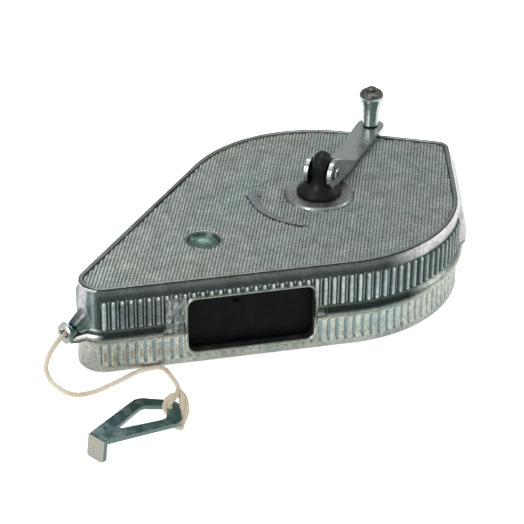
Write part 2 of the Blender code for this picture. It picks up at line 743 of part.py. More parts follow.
def main():
    clear_scene()
    die_cast = material("die cast zinc", (0.50, 0.52, 0.50), 0.42, 0.85)
    plated = material("plated steel", (0.72, 0.74, 0.73), 0.22, 1.0)
    dark_zinc = material("dark zinc", (0.24, 0.33, 0.32), 0.38, 0.9)
    black = material("black plastic", (0.02, 0.02, 0.022), 0.38)
    spool_plastic = material("spool plastic", (0.62, 0.60, 0.55), 0.5)
    twine = material("cotton line", (0.74, 0.68, 0.57), 0.9)
    felt = material("grey felt", (0.36, 0.36, 0.34), 1.0)
    fibre = material("fibre washer", (0.42, 0.16, 0.10), 0.7)

    make_case_upper(die_cast)
    make_case_lower(die_cast)
    for side in SCREWS:
        make_case_screw(side, plated)
    make_ferrule(plated)
    make_felt("felt_wiper_lower", (8.3, 12.4), felt)
    make_felt("felt_wiper_upper", (14.6, 18.7), felt)
    make_washer("hub_felt_seal", (5.2, 8.8), (23.1, 24.2), felt)
    make_washer("washer_lower", (POST_R + GAP, 6.6), (2.4, 3.2), fibre)
    make_inside_line(twine)
    finish(tube("line_free", FREE_ROUTE, LINE_R, 2.9), twine)

    door_at = (*on_wall(sum(DOOR_S) / 2, sum(DOOR_D) / 2), sum(DOOR_Z) / 2)
    make_door(black, empty("door_slide_frame", door_at, turn=-WALL_ANGLE))

    reel = empty("spool_axis", (0, 0, 0))
    make_spool(spool_plastic, reel)
    make_winding(twine, reel)
    make_washer("washer_upper", (4.9, 9.4), (21.95, 22.75), fibre, reel)
    make_hub(black, reel)
    make_hub_screw(plated, reel)

    beside = (-CRANK_SIDE * math.sin(CRANK_AZIMUTH), CRANK_SIDE * math.cos(CRANK_AZIMUTH))
    crank = empty("crank_axis", (*beside, PIVOT_Z), reel, CRANK_AZIMUTH)
    make_crank_arm(plated, crank)
    make_crank_pin(plated, crank)
    make_knob_rivet(plated, empty("rivet_frame", (CRANK_R, 0, 0), crank))
    make_knob(plated, empty("knob_axis", (CRANK_R, 0, 0), crank))

    knot = empty("knot_frame", KNOT)
    make_knot(twine, knot)
    make_loop(twine, knot)
    make_hook(dark_zinc, knot)


main()
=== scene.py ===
"""Looks of the chalk line reel: cast case with its ribs and knurling, plated crank and hook, twisted line.

Frame: origin on the base under the spool axis, +Z up, nose towards -X. Sizes are in millimetres until a mesh
is made, and the case's own sizes are those of the CAD part.
"""

import math

import bmesh
import bpy
import numpy as np
from mathutils import Matrix, Vector, geometry, kdtree, noise

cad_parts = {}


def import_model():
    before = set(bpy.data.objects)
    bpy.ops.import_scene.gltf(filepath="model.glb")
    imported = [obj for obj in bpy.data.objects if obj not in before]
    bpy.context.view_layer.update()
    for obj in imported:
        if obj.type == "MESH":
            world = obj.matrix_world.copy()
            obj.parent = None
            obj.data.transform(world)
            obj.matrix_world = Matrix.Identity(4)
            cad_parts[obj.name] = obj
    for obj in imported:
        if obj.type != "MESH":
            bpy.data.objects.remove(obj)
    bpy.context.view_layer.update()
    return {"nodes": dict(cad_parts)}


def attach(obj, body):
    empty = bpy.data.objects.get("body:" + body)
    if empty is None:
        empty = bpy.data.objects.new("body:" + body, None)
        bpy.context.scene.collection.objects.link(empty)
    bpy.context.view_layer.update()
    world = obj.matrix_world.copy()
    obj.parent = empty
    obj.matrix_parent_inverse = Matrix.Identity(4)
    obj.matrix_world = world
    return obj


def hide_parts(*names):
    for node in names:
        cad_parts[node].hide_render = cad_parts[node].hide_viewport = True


MM = 0.001

# Case outline in plan: the hull of three circles on the X axis
MAIN_R = 40.0
NOSE_X, NOSE_R = -76.5, 6.55
TAIL_X, TAIL_R = 46.4, 3.7
CASE_H = 26.45
SEAM = (10.4, 10.7)
WALL_ANGLE = math.asin((MAIN_R - NOSE_R) / -NOSE_X)
WALL_LENGTH = -NOSE_X * math.cos(WALL_ANGLE)
TAIL_ANGLE = math.acos((MAIN_R - TAIL_R) / TAIL_X)
SIDE = 1.5 * math.pi - WALL_ANGLE  # direction in which the -Y side wall faces
FACET_LENGTH = math.sqrt(TAIL_X**2 - (MAIN_R - TAIL_R) ** 2)

# Ribs on the upper half, flutes on the lower half, at one pitch along the outline from the nose tip
RIB_PITCH, FIRST_RIB, RIBS = 2.45, 6.4, 48
RIB_HEIGHT, RIB_Z = 0.75, (14.2, 22.7)
FLUTE_DEPTH, FLUTE_Z = 0.4, (2.8, 8.9)

WINDOW_S, WINDOW_Z, WINDOW_CORNER = (22.0, 57.2), (4.0, 20.6), 2.3
FRAME_RIM, FRAME_D = 1.1, 41.4
ROUGH_S = (15.8, 20.6)
BEAD_BREAK_S = (15.2, 60.3)
RAIL_S, RAIL_TOP_Z = (18.8, 75.5), 22.1

CEILING_Z, FLOOR_Z, WALL = 24.5, 2.0, 1.8
RIM = 1.25
KNURL_Z, KNURL_TOP, KNURL_PITCH = 25.5, 25.9, 0.95
BOSS_R, BOSS_TOP, HUB_HOLE_R = 9.6, 26.6, 4.9
CRANK_AZIMUTH, CRANK_SIDE = math.radians(28.7), -0.75
DIMPLE_X, DIMPLE_R, CUP_R = -42.1, 4.85, 6.2
ARROW_R, ARROW_FROM, ARROW_TO = 19.2, 138.0, 220.0
NOSE_FLAT_X = -88.4
SCREW_R = 37.2
SCREWS = [
    (-63.5, -4.0),
    (42.3, 0.0),
    (SCREW_R * math.cos(math.radians(66)), SCREW_R * math.sin(math.radians(66))),
    (SCREW_R * math.cos(math.radians(-60)), SCREW_R * math.sin(math.radians(-60))),
]

# Free line, from the ferrule to the hitch
LINE_R = 0.7
LINE_Z = 13.5
FREE_ROUTE = [
    (-90.1, 0.0, 13.45), (-91.8, -0.3, 12.2), (-93.7, 0.3, 9.6), (-95.1, 0.4, 7.0), (-95.8, 0.0, 4.5),
    (-95.9, -1.9, 2.3), (-95.3, -4.8, 1.1), (-94.3, -8.6, 0.8), (-92.2, -10.9, 0.8), (-88.7, -12.0, 0.8),
    (-84.8, -12.1, 0.8), (-79.5, -11.9, 0.8), (-74.8, -11.4, 0.8), (-70.8, -11.9, 0.8), (-68.2, -13.0, 0.8),
    (-67.3, -15.1, 0.8), (-67.9, -18.6, 0.8), (-69.2, -23.1, 0.8), (-70.7, -25.9, 0.9),
]
# Strands of the hitch that holds the hook, each starting at the line's end
HITCH_WRAP = [
    [
        (-70.8, -26.0, 1.0), (-72.3, -30.2, 2.2), (-74.0, -33.4, 2.5), (-76.2, -36.4, 2.1),
        (-78.6, -38.2, 1.4), (-80.9, -39.9, 0.9)
    ],
    [
        (-70.9, -26.2, 1.3), (-73.1, -30.0, 3.0), (-75.0, -33.0, 3.1), (-77.1, -35.7, 2.4),
        (-79.2, -37.4, 1.6), (-81.3, -39.2, 0.9)
    ],
]
HITCH_EYE = [
    [
        (-71.0, -26.2, 1.1), (-74.4, -29.6, 3.2), (-77.4, -31.3, 4.9), (-79.4, -32.0, 4.6),
        (-80.3, -32.7, 3.0), (-79.4, -33.8, 1.2), (-77.4, -35.0, 1.0), (-76.0, -35.8, 1.3)
    ],
    [
        (-71.1, -26.3, 1.4), (-75.0, -30.4, 3.9), (-78.2, -32.4, 4.4), (-79.4, -33.2, 3.2),
        (-78.6, -34.2, 1.5), (-77.0, -35.6, 1.1)
    ],
]

# Camera: angles in degrees, distance from its target, and lens
CAMERA_AZIMUTH, CAMERA_ELEVATION, CAMERA_ROLL = -39.501, 30.696, 0.651
CAMERA_DISTANCE, CAMERA_LENS = 629.89, 145.828
CAMERA_TARGET = (-9.403, 14.06, 0.0)


# ---------------------------------------- node materials


class Nodes:
    """A material's node tree, with short calls for what the finishes here are made of."""

    def __init__(self, name):
        self.material = bpy.data.materials.new(name)
        self.material.use_nodes = True
        self.tree = self.material.node_tree
        self.shader = self.tree.nodes["Principled BSDF"]
        self.place = self.tree.nodes.new("ShaderNodeTexCoord").outputs["Object"]

    def noise(self, scale, detail=4.0, stretch=None, roughness=0.55):
        """Noise value, with scale in features per metre, stretched along an axis if asked."""
        node = self.tree.nodes.new("ShaderNodeTexNoise")
        node.inputs["Scale"].default_value = scale
        node.inputs["Detail"].default_value = detail
        node.inputs["Roughness"].default_value = roughness
        place = self.place
        if stretch:
            mapping = self.tree.nodes.new("ShaderNodeMapping")
            mapping.inputs["Scale"].default_value = stretch
            self.tree.links.new(place, mapping.inputs["Vector"])
            place = mapping.outputs["Vector"]
        self.tree.links.new(place, node.inputs["Vector"])
        return node.outputs["Fac"]

    def height(self):
        """0 at the foot of the piece to 1 at its top."""
        split = self.tree.nodes.new("ShaderNodeSeparateXYZ")
        self.tree.links.new(self.place.node.outputs["Generated"], split.inputs["Vector"])
        return split.outputs["Z"]

    def facing(self, axis):
        """How squarely a face looks along one of the piece's own axes, 0 to 1."""
        split = self.tree.nodes.new("ShaderNodeSeparateXYZ")
        self.tree.links.new(self.place.node.outputs["Normal"], split.inputs["Vector"])
        return self.math("ABSOLUTE", split.outputs[axis])

    def ramp(self, value, *stops):
        """Value looked up between (position, colour or grey) stops."""
        node = self.tree.nodes.new("ShaderNodeValToRGB")
        ramp = node.color_ramp
        while len(ramp.elements) < len(stops):
            ramp.elements.new(0.5)
        for element, (position, colour) in zip(ramp.elements, stops):
            element.position = position
            element.color = (*colour, 1.0) if isinstance(colour, tuple) else (colour, colour, colour, 1.0)
        self.tree.links.new(value, node.inputs["Fac"])
        return node.outputs["Color"]

    def mix(self, factor, a, b, blend="MIX"):
        node = self.tree.nodes.new("ShaderNodeMix")
        node.data_type = "RGBA"
        node.blend_type = blend
        for slot, value in ((node.inputs["Factor"], factor), (node.inputs[6], a), (node.inputs[7], b)):
            if isinstance(value, bpy.types.NodeSocket):
                self.tree.links.new(value, slot)
            elif isinstance(value, tuple):
                slot.default_value = (*value, 1.0)
            else:
                slot.default_value = value
        return node.outputs[2]

    def math(self, operation, a, b=0.0):
        node = self.tree.nodes.new("ShaderNodeMath")
        node.operation = operation
        for slot, value in zip(node.inputs, (a, b)):
            if isinstance(value, bpy.types.NodeSocket):
                self.tree.links.new(value, slot)
            else:
                slot.default_value = value
        return node.outputs["Value"]

    def attribute(self, name):
        node = self.tree.nodes.new("ShaderNodeAttribute")
        node.attribute_name = name
        return node.outputs["Color"]

    def bump(self, value, distance, strength=1.0):
        """Bump from a value, its height given in millimetres."""
        node = self.tree.nodes.new("ShaderNodeBump")
        node.inputs["Distance"].default_value = distance * MM
        node.inputs["Strength"].default_value = strength
        self.tree.links.new(value, node.inputs["Height"])
        if self.shader.inputs["Normal"].is_linked:
            self.tree.links.new(self.shader.inputs["Normal"].links[0].from_socket, node.inputs["Normal"])
        self.tree.links.new(node.outputs["Normal"], self.shader.inputs["Normal"])

    def put(self, **values):
        """Sets shader sockets, named with underscores, to a constant or to a node's output."""
        for name, value in values.items():
            slot = self.shader.inputs[name.replace("_", " ").title().replace("Ior", "IOR")]
            if isinstance(value, bpy.types.NodeSocket):
                self.tree.links.new(value, slot)
            elif isinstance(value, tuple):
                slot.default_value = (*value, 1.0)
            else:
                slot.default_value = value
        return self


def cast_zinc():
    """Zinc plate on a casting: the attribute of tone and painted light, broken up by cool, warm and darker
    patches.
    """
    made = Nodes("cast zinc")
    patches = made.ramp(made.noise(42.0, 5.0), (0.32, (0.92, 1.0, 1.0)), (0.50, (1.0, 1.0, 0.98)),
                        (0.68, (1.06, 1.0, 0.95)))
    fine = made.ramp(made.noise(1100.0, 4.0), (0.30, 0.66), (0.55, 1.0), (0.75, 1.25))
    clouds = made.ramp(made.noise(190.0, 5.0), (0.30, 0.80), (0.70, 1.15))
    colour = made.mix(1.0, made.attribute("tone_and_painted_light"), patches, "MULTIPLY")
    colour = made.mix(1.0, colour, fine, "MULTIPLY")
    made.put(base_color=made.mix(1.0, colour, clouds, "MULTIPLY"), metallic=0.9)
    made.put(roughness=made.ramp(made.noise(260.0, 5.0), (0.3, 0.26), (0.7, 0.42)))
    made.bump(made.noise(1300.0, 4.0), 0.05)
    made.bump(made.noise(260.0, 3.0), 0.08)
    return made.material


def plated_steel():
    """Smooth zinc plate on pressed or turned steel, with faint draw lines."""
    made = Nodes("plated steel")
    colour = made.ramp(made.noise(120.0, 4.0), (0.3, (0.34, 0.41, 0.40)), (0.55, (0.44, 0.45, 0.46)),
                       (0.75, (0.45, 0.43, 0.47)))
    made.put(base_color=colour, metallic=1.0)
    made.put(roughness=made.ramp(made.noise(500.0, 4.0), (0.3, 0.20), (0.7, 0.32)))
    made.bump(made.noise(2200.0, 2.0), 0.012)
    return made.material


def turned_steel():
    """Polished zinc-plated turning for the knob; its domed end is rougher, with a dark grey-brown that is a
    painted reflection.
    """
    made = Nodes("turned steel")
    plate = made.ramp(made.noise(150.0, 3.0), (0.35, (0.36, 0.46, 0.43)), (0.65, (0.48, 0.52, 0.50)))
    # Painted reflection: the domed end's dark grey-brown.
    painted_end_reflection = made.ramp(
        made.noise(900.0, 5.0), (0.35, (0.07, 0.075, 0.065)), (0.60, (0.15, 0.15, 0.135)),
        (0.72, (0.26, 0.24, 0.22))
    )
    end = made.ramp(made.height(), (0.82, 0.0), (0.87, 1.0))
    made.put(base_color=made.mix(end, plate, painted_end_reflection), metallic=1.0)
    made.put(roughness=made.ramp(end, (0.0, 0.17), (1.0, 0.45)))
    made.bump(made.noise(260.0, 3.0, stretch=(0.4, 0.4, 14.0)), 0.02)
    return made.material


def blue_zinc():
    """Blue-green passivated zinc with paler drag marks, painted shade and light by face direction, and a
    painted highlight along the bend.
    """
    made = Nodes("blue zinc")
    streaks = made.noise(210.0, 3.0, stretch=(1.4, 0.8, 1.0))
    colour = made.ramp(
        streaks, (0.30, (0.11, 0.22, 0.21)), (0.50, (0.20, 0.33, 0.32)), (0.62, (0.45, 0.58, 0.60))
    )
    # Painted shade on faces looking along Y, the plate's sides; painted light, a flat grey-beige, on faces
    # looking along X such as the tab's; a painted highlight along the bend.
    edge = made.mix(made.ramp(made.facing("Y"), (0.25, 0.0), (0.5, 1.0)), colour, (0.10, 0.14, 0.13))
    tab = made.ramp(made.facing("X"), (0.88, 0.0), (0.95, 1.0))
    bend = made.ramp(made.facing("X"), (0.30, 0.0), (0.45, 1.0), (0.80, 1.0), (0.90, 0.0))
    bend = made.math("MULTIPLY", bend, made.ramp(made.facing("Z"), (0.30, 0.0), (0.42, 1.0)))
    made.put(
        base_color=made.mix(tab, made.mix(bend, edge, (0.85, 0.90, 0.86)), (0.28, 0.28, 0.24)), metallic=1.0
    )
    made.put(roughness=made.ramp(made.noise(700.0, 4.0), (0.3, 0.24), (0.7, 0.38)))
    made.bump(made.noise(1500.0, 3.0), 0.02)
    return made.material


def black_plastic():
    made = Nodes("black plastic")
    made.put(
        base_color=made.ramp(
            made.noise(300.0, 4.0), (0.3, (0.003, 0.003, 0.004)), (0.7, (0.007, 0.007, 0.008))
        )
    )
    made.put(roughness=made.ramp(made.noise(450.0, 5.0), (0.3, 0.30), (0.7, 0.46)), specular_ior_level=0.04)
    made.bump(made.noise(3000.0, 2.0), 0.01)
    return made.material


def painted_hub():
    """Black hub with brown patches at random: a painted brown reflection."""
    made = Nodes("hub black")
    # Painted reflection: brown patches at random over the black.
    painted_brown_reflection = made.ramp(made.noise(260.0, 4.0), (0.52, 0.0), (0.72, 0.55))
    made.put(
        base_color=made.mix(painted_brown_reflection, (0.005, 0.005, 0.006), (0.035, 0.026, 0.020)), specular_ior_level=0.22
    )
    made.put(roughness=made.ramp(made.noise(500.0, 4.0), (0.3, 0.28), (0.7, 0.50)))
    made.bump(made.noise(1800.0, 3.0), 0.015)
    return made.material


def cotton_line():
    made = Nodes("cotton line")
    fibres = made.noise(2600.0, 4.0)
    colour = made.ramp(made.noise(120.0, 4.0), (0.3, (0.50, 0.42, 0.31)), (0.6, (0.63, 0.56, 0.46)),
                       (0.8, (0.70, 0.64, 0.55)))
    colour = made.mix(made.ramp(fibres, (0.30, 0.35), (0.55, 0.0)), colour, (0.50, 0.40, 0.28))
    made.put(base_color=colour, roughness=0.92, sheen_weight=0.25)
    made.bump(fibres, 0.10)
    return made.material


def felt():
    made = Nodes("felt")
    fibres = made.noise(1800.0, 6.0)
    made.put(
        base_color=made.ramp(fibres, (0.3, (0.16, 0.16, 0.15)), (0.7, (0.34, 0.34, 0.32))), roughness=0.97
    )
    made.bump(fibres, 0.2)
    return made.material


def fibre():
    made = Nodes("red fibre")
    made.put(
        base_color=made.ramp(made.noise(700.0, 5.0), (0.3, (0.22, 0.05, 0.03)), (0.7, (0.34, 0.09, 0.05)))
    )
    made.put(roughness=0.62)
    return made.material


def spool_plastic():
    made = Nodes("spool plastic")
    made.put(
        base_color=made.ramp(made.noise(80.0, 4.0), (0.3, (0.52, 0.50, 0.44)), (0.7, (0.62, 0.60, 0.54)))
    )
    made.put(roughness=made.ramp(made.noise(400.0, 4.0), (0.3, 0.40), (0.7, 0.55)))
    made.bump(made.noise(900.0, 3.0), 0.02)
    return made.material


# ---------------------------------------- the case outline


def front_half():
    """The -Y half of the outline as (length, function giving the point at a distance and offset)."""
    tail_turn = 2 * math.pi - TAIL_ANGLE

    def round_part(x, radius, start):
        def at(run, offset):
            angle = start + run / radius
            out = Vector((math.cos(angle), math.sin(angle)))
            return Vector((x, 0.0)) + out * (radius + offset)

        return at

    def straight_part(x, radius, angle):
        out = Vector((math.cos(angle), math.sin(angle)))
        along = Vector((-out.y, out.x))

        def at(run, offset):
            return Vector((x, 0.0)) + out * (radius + offset) + along * run

        return at

    return [
        (NOSE_R * (SIDE - math.pi), round_part(NOSE_X, NOSE_R, math.pi)),
        (WALL_LENGTH, straight_part(NOSE_X, NOSE_R, SIDE)),
        (MAIN_R * (tail_turn - SIDE), round_part(0.0, MAIN_R, SIDE)),
        (FACET_LENGTH, straight_part(0.0, MAIN_R, tail_turn)),
        (TAIL_R * TAIL_ANGLE, round_part(TAIL_X, TAIL_R, tail_turn)),
    ]


PARTS = front_half()
NOSE_RUN = PARTS[0][0]
HALF_RUN = sum(length for length, _ in PARTS)


def outline_at(run, offset=0.0):
    """Point in plan at a distance along the outline from the nose tip, round the -Y side first."""
    mirrored = run > HALF_RUN
    left = 2 * HALF_RUN - run if mirrored else run
    for length, at in PARTS:
        if left <= length + 1e-9:
            break
        left -= length
    point = at(min(left, length), offset)
    return Vector((point.x, -point.y)) if mirrored else point


def run_columns():
    """Distances along the outline of the side wall's columns of points, close together at each rib."""
    steps = (-0.38, -0.32, -0.22, -0.11, 0.0, 0.11, 0.22, 0.32, 0.38, 0.5)
    runs = [FIRST_RIB + (i + step) * RIB_PITCH for i in range(RIBS) for step in steps]
    first, last = runs[0], runs[-1]
    runs = [first * i / 16 for i in range(16)] + runs
    tail_from = HALF_RUN - PARTS[4][0]
    runs += [last + (tail_from - last) * i / 16 for i in range(1, 16)]
    runs += [tail_from + (HALF_RUN - tail_from) * i / 6 for i in range(7)]
    return runs + [2 * HALF_RUN - run for run in reversed(runs[1:-1])]


COLUMNS = run_columns()


def front_run(run):
    """The same distance on the -Y half."""
    return min(run, 2 * HALF_RUN - run)


def rib_place(run):
    """Distance from the nearest rib's middle in pitches, or 0.5 where there are no ribs."""
    place = (front_run(run) - FIRST_RIB) / RIB_PITCH
    if not -0.5 < place < RIBS - 0.5:
        return 0.5
    return abs(place - round(place))


def rib_shape(run):
    """0 between ribs to 1 on a rib's crest."""
    return ramp_through([(0.0, 1.0), (0.11, 0.94), (0.22, 0.72), (0.32, 0.30), (0.38, 0.0)], rib_place(run))


def wall_s(run):
    """Distance along the straight -Y wall, or None elsewhere."""
    s = run - NOSE_RUN
    return s if 0 <= s <= WALL_LENGTH and run < HALF_RUN else None


def between(value, low, high, soft):
    """1 inside a stretch, 0 outside it, with a soft edge."""
    inside = min(value - low, high - value)
    return max(0.0, min(1.0, inside / soft + 0.5))


def tail_weight(run):
    """1 on the smooth pad round the tail."""
    return max(0.0, min(1.0, (front_run(run) - (FIRST_RIB + (RIBS - 0.6) * RIB_PITCH)) / 1.6))


def ramp_through(stops, value):
    """Piecewise-linear value through (place, value) stops."""
    return float(np.interp(value, [a for a, _ in stops], [b for _, b in stops]))


def smooth_object(name, bm, surface, angle=32.0):
    bmesh.ops.remove_doubles(bm, verts=bm.verts, dist=1e-6)
    bmesh.ops.recalc_face_normals(bm, faces=bm.faces)
    mesh = bpy.data.meshes.new(name)
    bm.to_mesh(mesh)
    bm.free()
    mesh.shade_smooth()
    mesh.set_sharp_from_angle(angle=math.radians(angle))
    obj = bpy.data.objects.new(name, mesh)
    bpy.context.scene.collection.objects.link(obj)
    if surface:
        mesh.materials.append(surface)
    return obj


def add_ring(bm, points):
    return [bm.verts.new(Vector(p) * MM) for p in points]


def bridge(bm, low, high):
    count = len(low)
    for i in range(count):
        j = (i + 1) % count
        bm.faces.new((low[i], low[j], high[j], high[i]))


def loft_rings(bm, rings):
    """Adds rings of points and the quads between them; returns the first and last ring's vertices."""
    rows = [add_ring(bm, ring) for ring in rings]
    for low, high in zip(rows, rows[1:]):
        bridge(bm, low, high)
    return rows[0], rows[-1]


def circle(x, y, radius, z, steps=40):
    turns = [2 * math.pi * i / steps for i in range(steps)]
    return [(x + radius * math.cos(a), y + radius * math.sin(a), z) for a in turns]


def stand_out(points):
    """How far plan points lie outside the case outline; negative inside it."""
    angles = np.radians(np.arange(0, 360, 1.0))
    ways = np.stack([np.cos(angles), np.sin(angles)], 1)
    centres = np.array([(NOSE_X, NOSE_R), (0.0, MAIN_R), (TAIL_X, TAIL_R)])
    reach = (centres[:, :1] * ways[:, 0] + centres[:, 1:]).max(0)
    return (points @ ways.T - reach).max(1)


def inside_outline(points, offset):
    """Which plan points lie inside the case outline moved by an offset."""
    return stand_out(points) < offset


def cap(bm, loops, keep, inner=(), heights=None):
    """Fills a flat face between vertex loops, through inner plan points, keeping triangles that pass a test.

    Heights gives the z of each inner point.
    """
    ring_points = [Vector((v.co.x / MM, v.co.y / MM)) for loop in loops for v in loop]
    edges, start = [], 0
    for loop in loops:
        count = len(loop)
        edges += [(start + i, start + (i + 1) % count) for i in range(count)]
        start += count
    points = ring_points + [Vector(p) for p in inner]
    made, _, faces, origins, _, _ = geometry.delaunay_2d_cdt(points, edges, [], 0, 1e-5)
    level = loops[0][0].co.z / MM
    flat = [v for loop in loops for v in loop]
    verts = []
    for point, origin in zip(made, origins):
        if origin and origin[0] < len(flat):
            verts.append(flat[origin[0]])
        else:
            z = heights[origin[0] - len(flat)] if heights is not None and origin else level
            verts.append(bm.verts.new(Vector((point.x, point.y, z)) * MM))
    corners = np.array([[p.x, p.y] for p in made])
    triangles = np.array(faces)
    kept = keep(corners[triangles].mean(1))
    for triangle in triangles[kept]:
        bm.faces.new([verts[i] for i in triangle])
    for vert in verts:
        if not vert.link_faces and vert not in flat:
            bm.verts.remove(vert)


def outside_circle(points, x, y, radius):
    return np.hypot(points[:, 0] - x, points[:, 1] - y) > radius


# ---------------------------------------- the arrow on the top


def arrow_outline():
    """Curved arrow round the hub: a head at its far end, then a tapering tail."""
    head, neck = math.radians(ARROW_FROM), math.radians(ARROW_FROM + 9.0)
    tip = (ARROW_R * math.cos(head), ARROW_R * math.sin(head))
    turns = np.linspace(neck, math.radians(ARROW_TO), 22)
    half = np.interp(turns, [turns[0], turns[-1]], [1.35, 0.3])
    outer = [((ARROW_R + w) * math.cos(a), (ARROW_R + w) * math.sin(a)) for a, w in zip(turns, half)]
    inner = [((ARROW_R - w) * math.cos(a), (ARROW_R - w) * math.sin(a)) for a, w in zip(turns, half)]
    barbs = [((ARROW_R + w) * math.cos(neck), (ARROW_R + w) * math.sin(neck)) for w in (2.3, -2.3)]
    return [tip, barbs[0], *outer, *reversed(inner), barbs[1]]


def inside_polygon(points, polygon):
    """Which plan points lie inside a polygon, by counting crossings."""
    corners = np.array(polygon)
    following = np.roll(corners, -1, 0)
    x, y = points[:, :1], points[:, 1:]
    straddles = (corners[:, 1] > y) != (following[:, 1] > y)
    rise = following[:, 1] - corners[:, 1]
    slope = (following[:, 0] - corners[:, 0]) / np.where(rise == 0, 1, rise)
    crossing = corners[:, 0] + (y - corners[:, 1]) * slope
    return (straddles & (x < crossing)).sum(1) % 2 == 1


def raised_arrow(bm):
    """Walls and top of the arrow; returns its foot loop."""
    polygon = arrow_outline()
    foot = [(x, y, KNURL_Z) for x, y in polygon]
    shoulder = [(x, y, KNURL_TOP + 0.35) for x, y in polygon]
    low, high = loft_rings(bm, [foot, shoulder])
    cap(bm, [high], lambda middles: inside_polygon(middles, polygon))
    return low, polygon


# ---------------------------------------- upper half of the case


def boss_out(run, z):
    """How far the swelling round the ferrule stands out from the nose."""
    away = front_run(run)
    reach = ramp_through(
        [(12.0, 5.2), (14.0, 5.2), (15.2, 4.7), (16.4, 3.4), (17.6, 1.7), (18.6, 0.3), (19.2, 0.0)], z
    )
    return reach * ramp_through(
        [(0.0, 1.0), (0.5, 0.98), (1.1, 0.82), (1.7, 0.50), (2.2, 0.18), (2.7, 0.0)], away
    )


def upper_offset(run, z):
    """How far the upper half's side stands out from the outline."""
    wall = ramp_through([(SEAM[1], 0.9), (14.2, 0.5), (22.7, 0.5), (26.05, 0.0)], z)
    pad = ramp_through(
        [
            (10.8, 0.9), (11.6, 1.6), (12.4, 2.2), (13.4, 2.8), (16.0, 3.1), (20.6, 2.2), (24.6, 0.4),
            (26.05, 0.0)
        ],
        z
    )
    ends = [
        (RIB_Z[0] - 0.5, 0.0), (RIB_Z[0] + 0.2, 1.0), (RIB_Z[1] - 0.9, 1.0), (RIB_Z[1] - 0.3, 0.7),
        (RIB_Z[1], 0.0)
    ]
    rib = RIB_HEIGHT * rib_shape(run) * ramp_through(ends, z)
    s = wall_s(run)
    if s is not None and ROUGH_S[0] < s < ROUGH_S[1]:
        rough = between(s, *ROUGH_S, 1.0) * ramp_through([(20.4, 1.0), (21.4, 0.0)], z)
        lumps = noise.noise(Vector((s * 0.55, z * 0.5, 3.0)))
        lumps += 0.5 * noise.noise(Vector((s * 1.3, z * 1.2, 8.0)))
        rib = rib * (1 - rough) + rough * (0.25 + 0.45 * lumps)
    side = wall + rib
    bead = ramp_through(
        [(SEAM[1], 1.2), (11.0, 2.0), (11.6, 2.15), (12.4, 1.9), (13.0, 1.45), (13.6, 0.9), (14.2, 0.5)], z
    )
    if s is not None:
        bead *= 1.0 - between(s, *BEAD_BREAK_S, 0.8)
    side = max(side, bead) if z < 14.2 else side
    side = max(side, side * 0.5 + boss_out(run, z))
    weight = tail_weight(run)
    return side * (1 - weight) + pad * weight


UPPER_LEVELS = [
    SEAM[1], 10.82, 11.0, 11.3, 11.6, 12.0, 12.4, 12.7, 13.0, 13.3, 13.6, 13.9, 14.2, 14.4, 15.0, 15.8,
    16.6, 18.0, 19.2, 20.0, 20.6, 21.2, 21.8, 22.1, 22.4, 22.7, 22.9, 23.3, 24.0, 24.6, 25.3, 26.05,
]


def side_rows(levels, offset_at):
    rows = []
    for z in levels:
        rows.append([(*outline_at(run, offset_at(run, z)), z) for run in COLUMNS])
    return rows


def offset_row(offset, z):
    return [(*outline_at(run, offset), z) for run in COLUMNS]


def knurl_points():
    """Plan points and heights of the knurl: rows of studs, its grooves deep one way and shallow the other."""
    reach = int(85 / KNURL_PITCH)
    index = np.arange(-reach, reach + 1)
    grid_u, grid_v = np.meshgrid(index, index)
    corners = np.stack([grid_u.ravel(), grid_v.ravel()], 1) * KNURL_PITCH
    shallow = KNURL_Z + 0.6 * (KNURL_TOP - KNURL_Z)
    marks = [(0.0, 0.0, KNURL_Z), (0.0, 0.5, KNURL_Z), (0.5, 0.0, shallow)]
    marks += [(a, b, KNURL_TOP) for a in (0.36, 0.64) for b in (0.30, 0.70)]
    plan = np.concatenate([corners + np.array([a, b]) * KNURL_PITCH for a, b, _ in marks])
    heights = np.concatenate([np.full(len(corners), z) for _, _, z in marks])
    turn = math.sqrt(0.5)
    plan = plan @ np.array([[turn, turn], [-turn, turn]]) + np.array([-18.0, 0.0])
    return plan, heights


def case_top(bm, edge, arrow_foot, arrow_polygon):
    """Rim, knurled field, hub boss and lock socket."""
    rim_rows = [
        (-0.08, 26.2), (-0.2, 26.36), (-0.42, CASE_H), (-RIM + 0.15, CASE_H), (-RIM, CASE_H - 0.1),
        (-RIM - 0.12, KNURL_Z)
    ]
    last = edge
    for offset, z in rim_rows:
        ring = add_ring(bm, offset_row(offset, z))
        bridge(bm, last, ring)
        last = ring
    boss_profile = [
        (BOSS_R + 0.5, KNURL_Z), (BOSS_R + 0.48, 25.85), (BOSS_R + 0.1, 26.45), (BOSS_R - 0.1, BOSS_TOP),
        (HUB_HOLE_R + 0.35, BOSS_TOP), (HUB_HOLE_R, BOSS_TOP - 0.3), (HUB_HOLE_R, CEILING_Z)
    ]
    boss_foot, hub_hole = loft_rings(bm, [circle(0, 0, r, z, 72) for r, z in boss_profile])
    socket_profile = [
        (DIMPLE_R + 0.3, KNURL_Z), (DIMPLE_R + 0.15, 25.86), (DIMPLE_R - 0.05, 25.8), (4.55, 25.0),
        (4.0, 24.3), (3.2, 23.8), (2.2, 23.45), (1.0, 23.3)
    ]
    socket_foot, socket_floor = loft_rings(bm, [circle(DIMPLE_X, 0, r, z, 48) for r, z in socket_profile])
    bm.faces.new(socket_floor)

    def on_field(points):
        return (
            inside_outline(points, -RIM - 0.14)
            & outside_circle(points, 0, 0, BOSS_R + 0.51)
            & outside_circle(points, DIMPLE_X, 0, DIMPLE_R + 0.31)
            & ~inside_polygon(points, arrow_polygon)
        )

    plan, heights = knurl_points()
    inner = on_field(plan)
    loops = [last, boss_foot, socket_foot, arrow_foot]
    cap(bm, loops, lambda middles: on_field(middles * 0.9999), plan[inner], heights[inner])
    return hub_hole


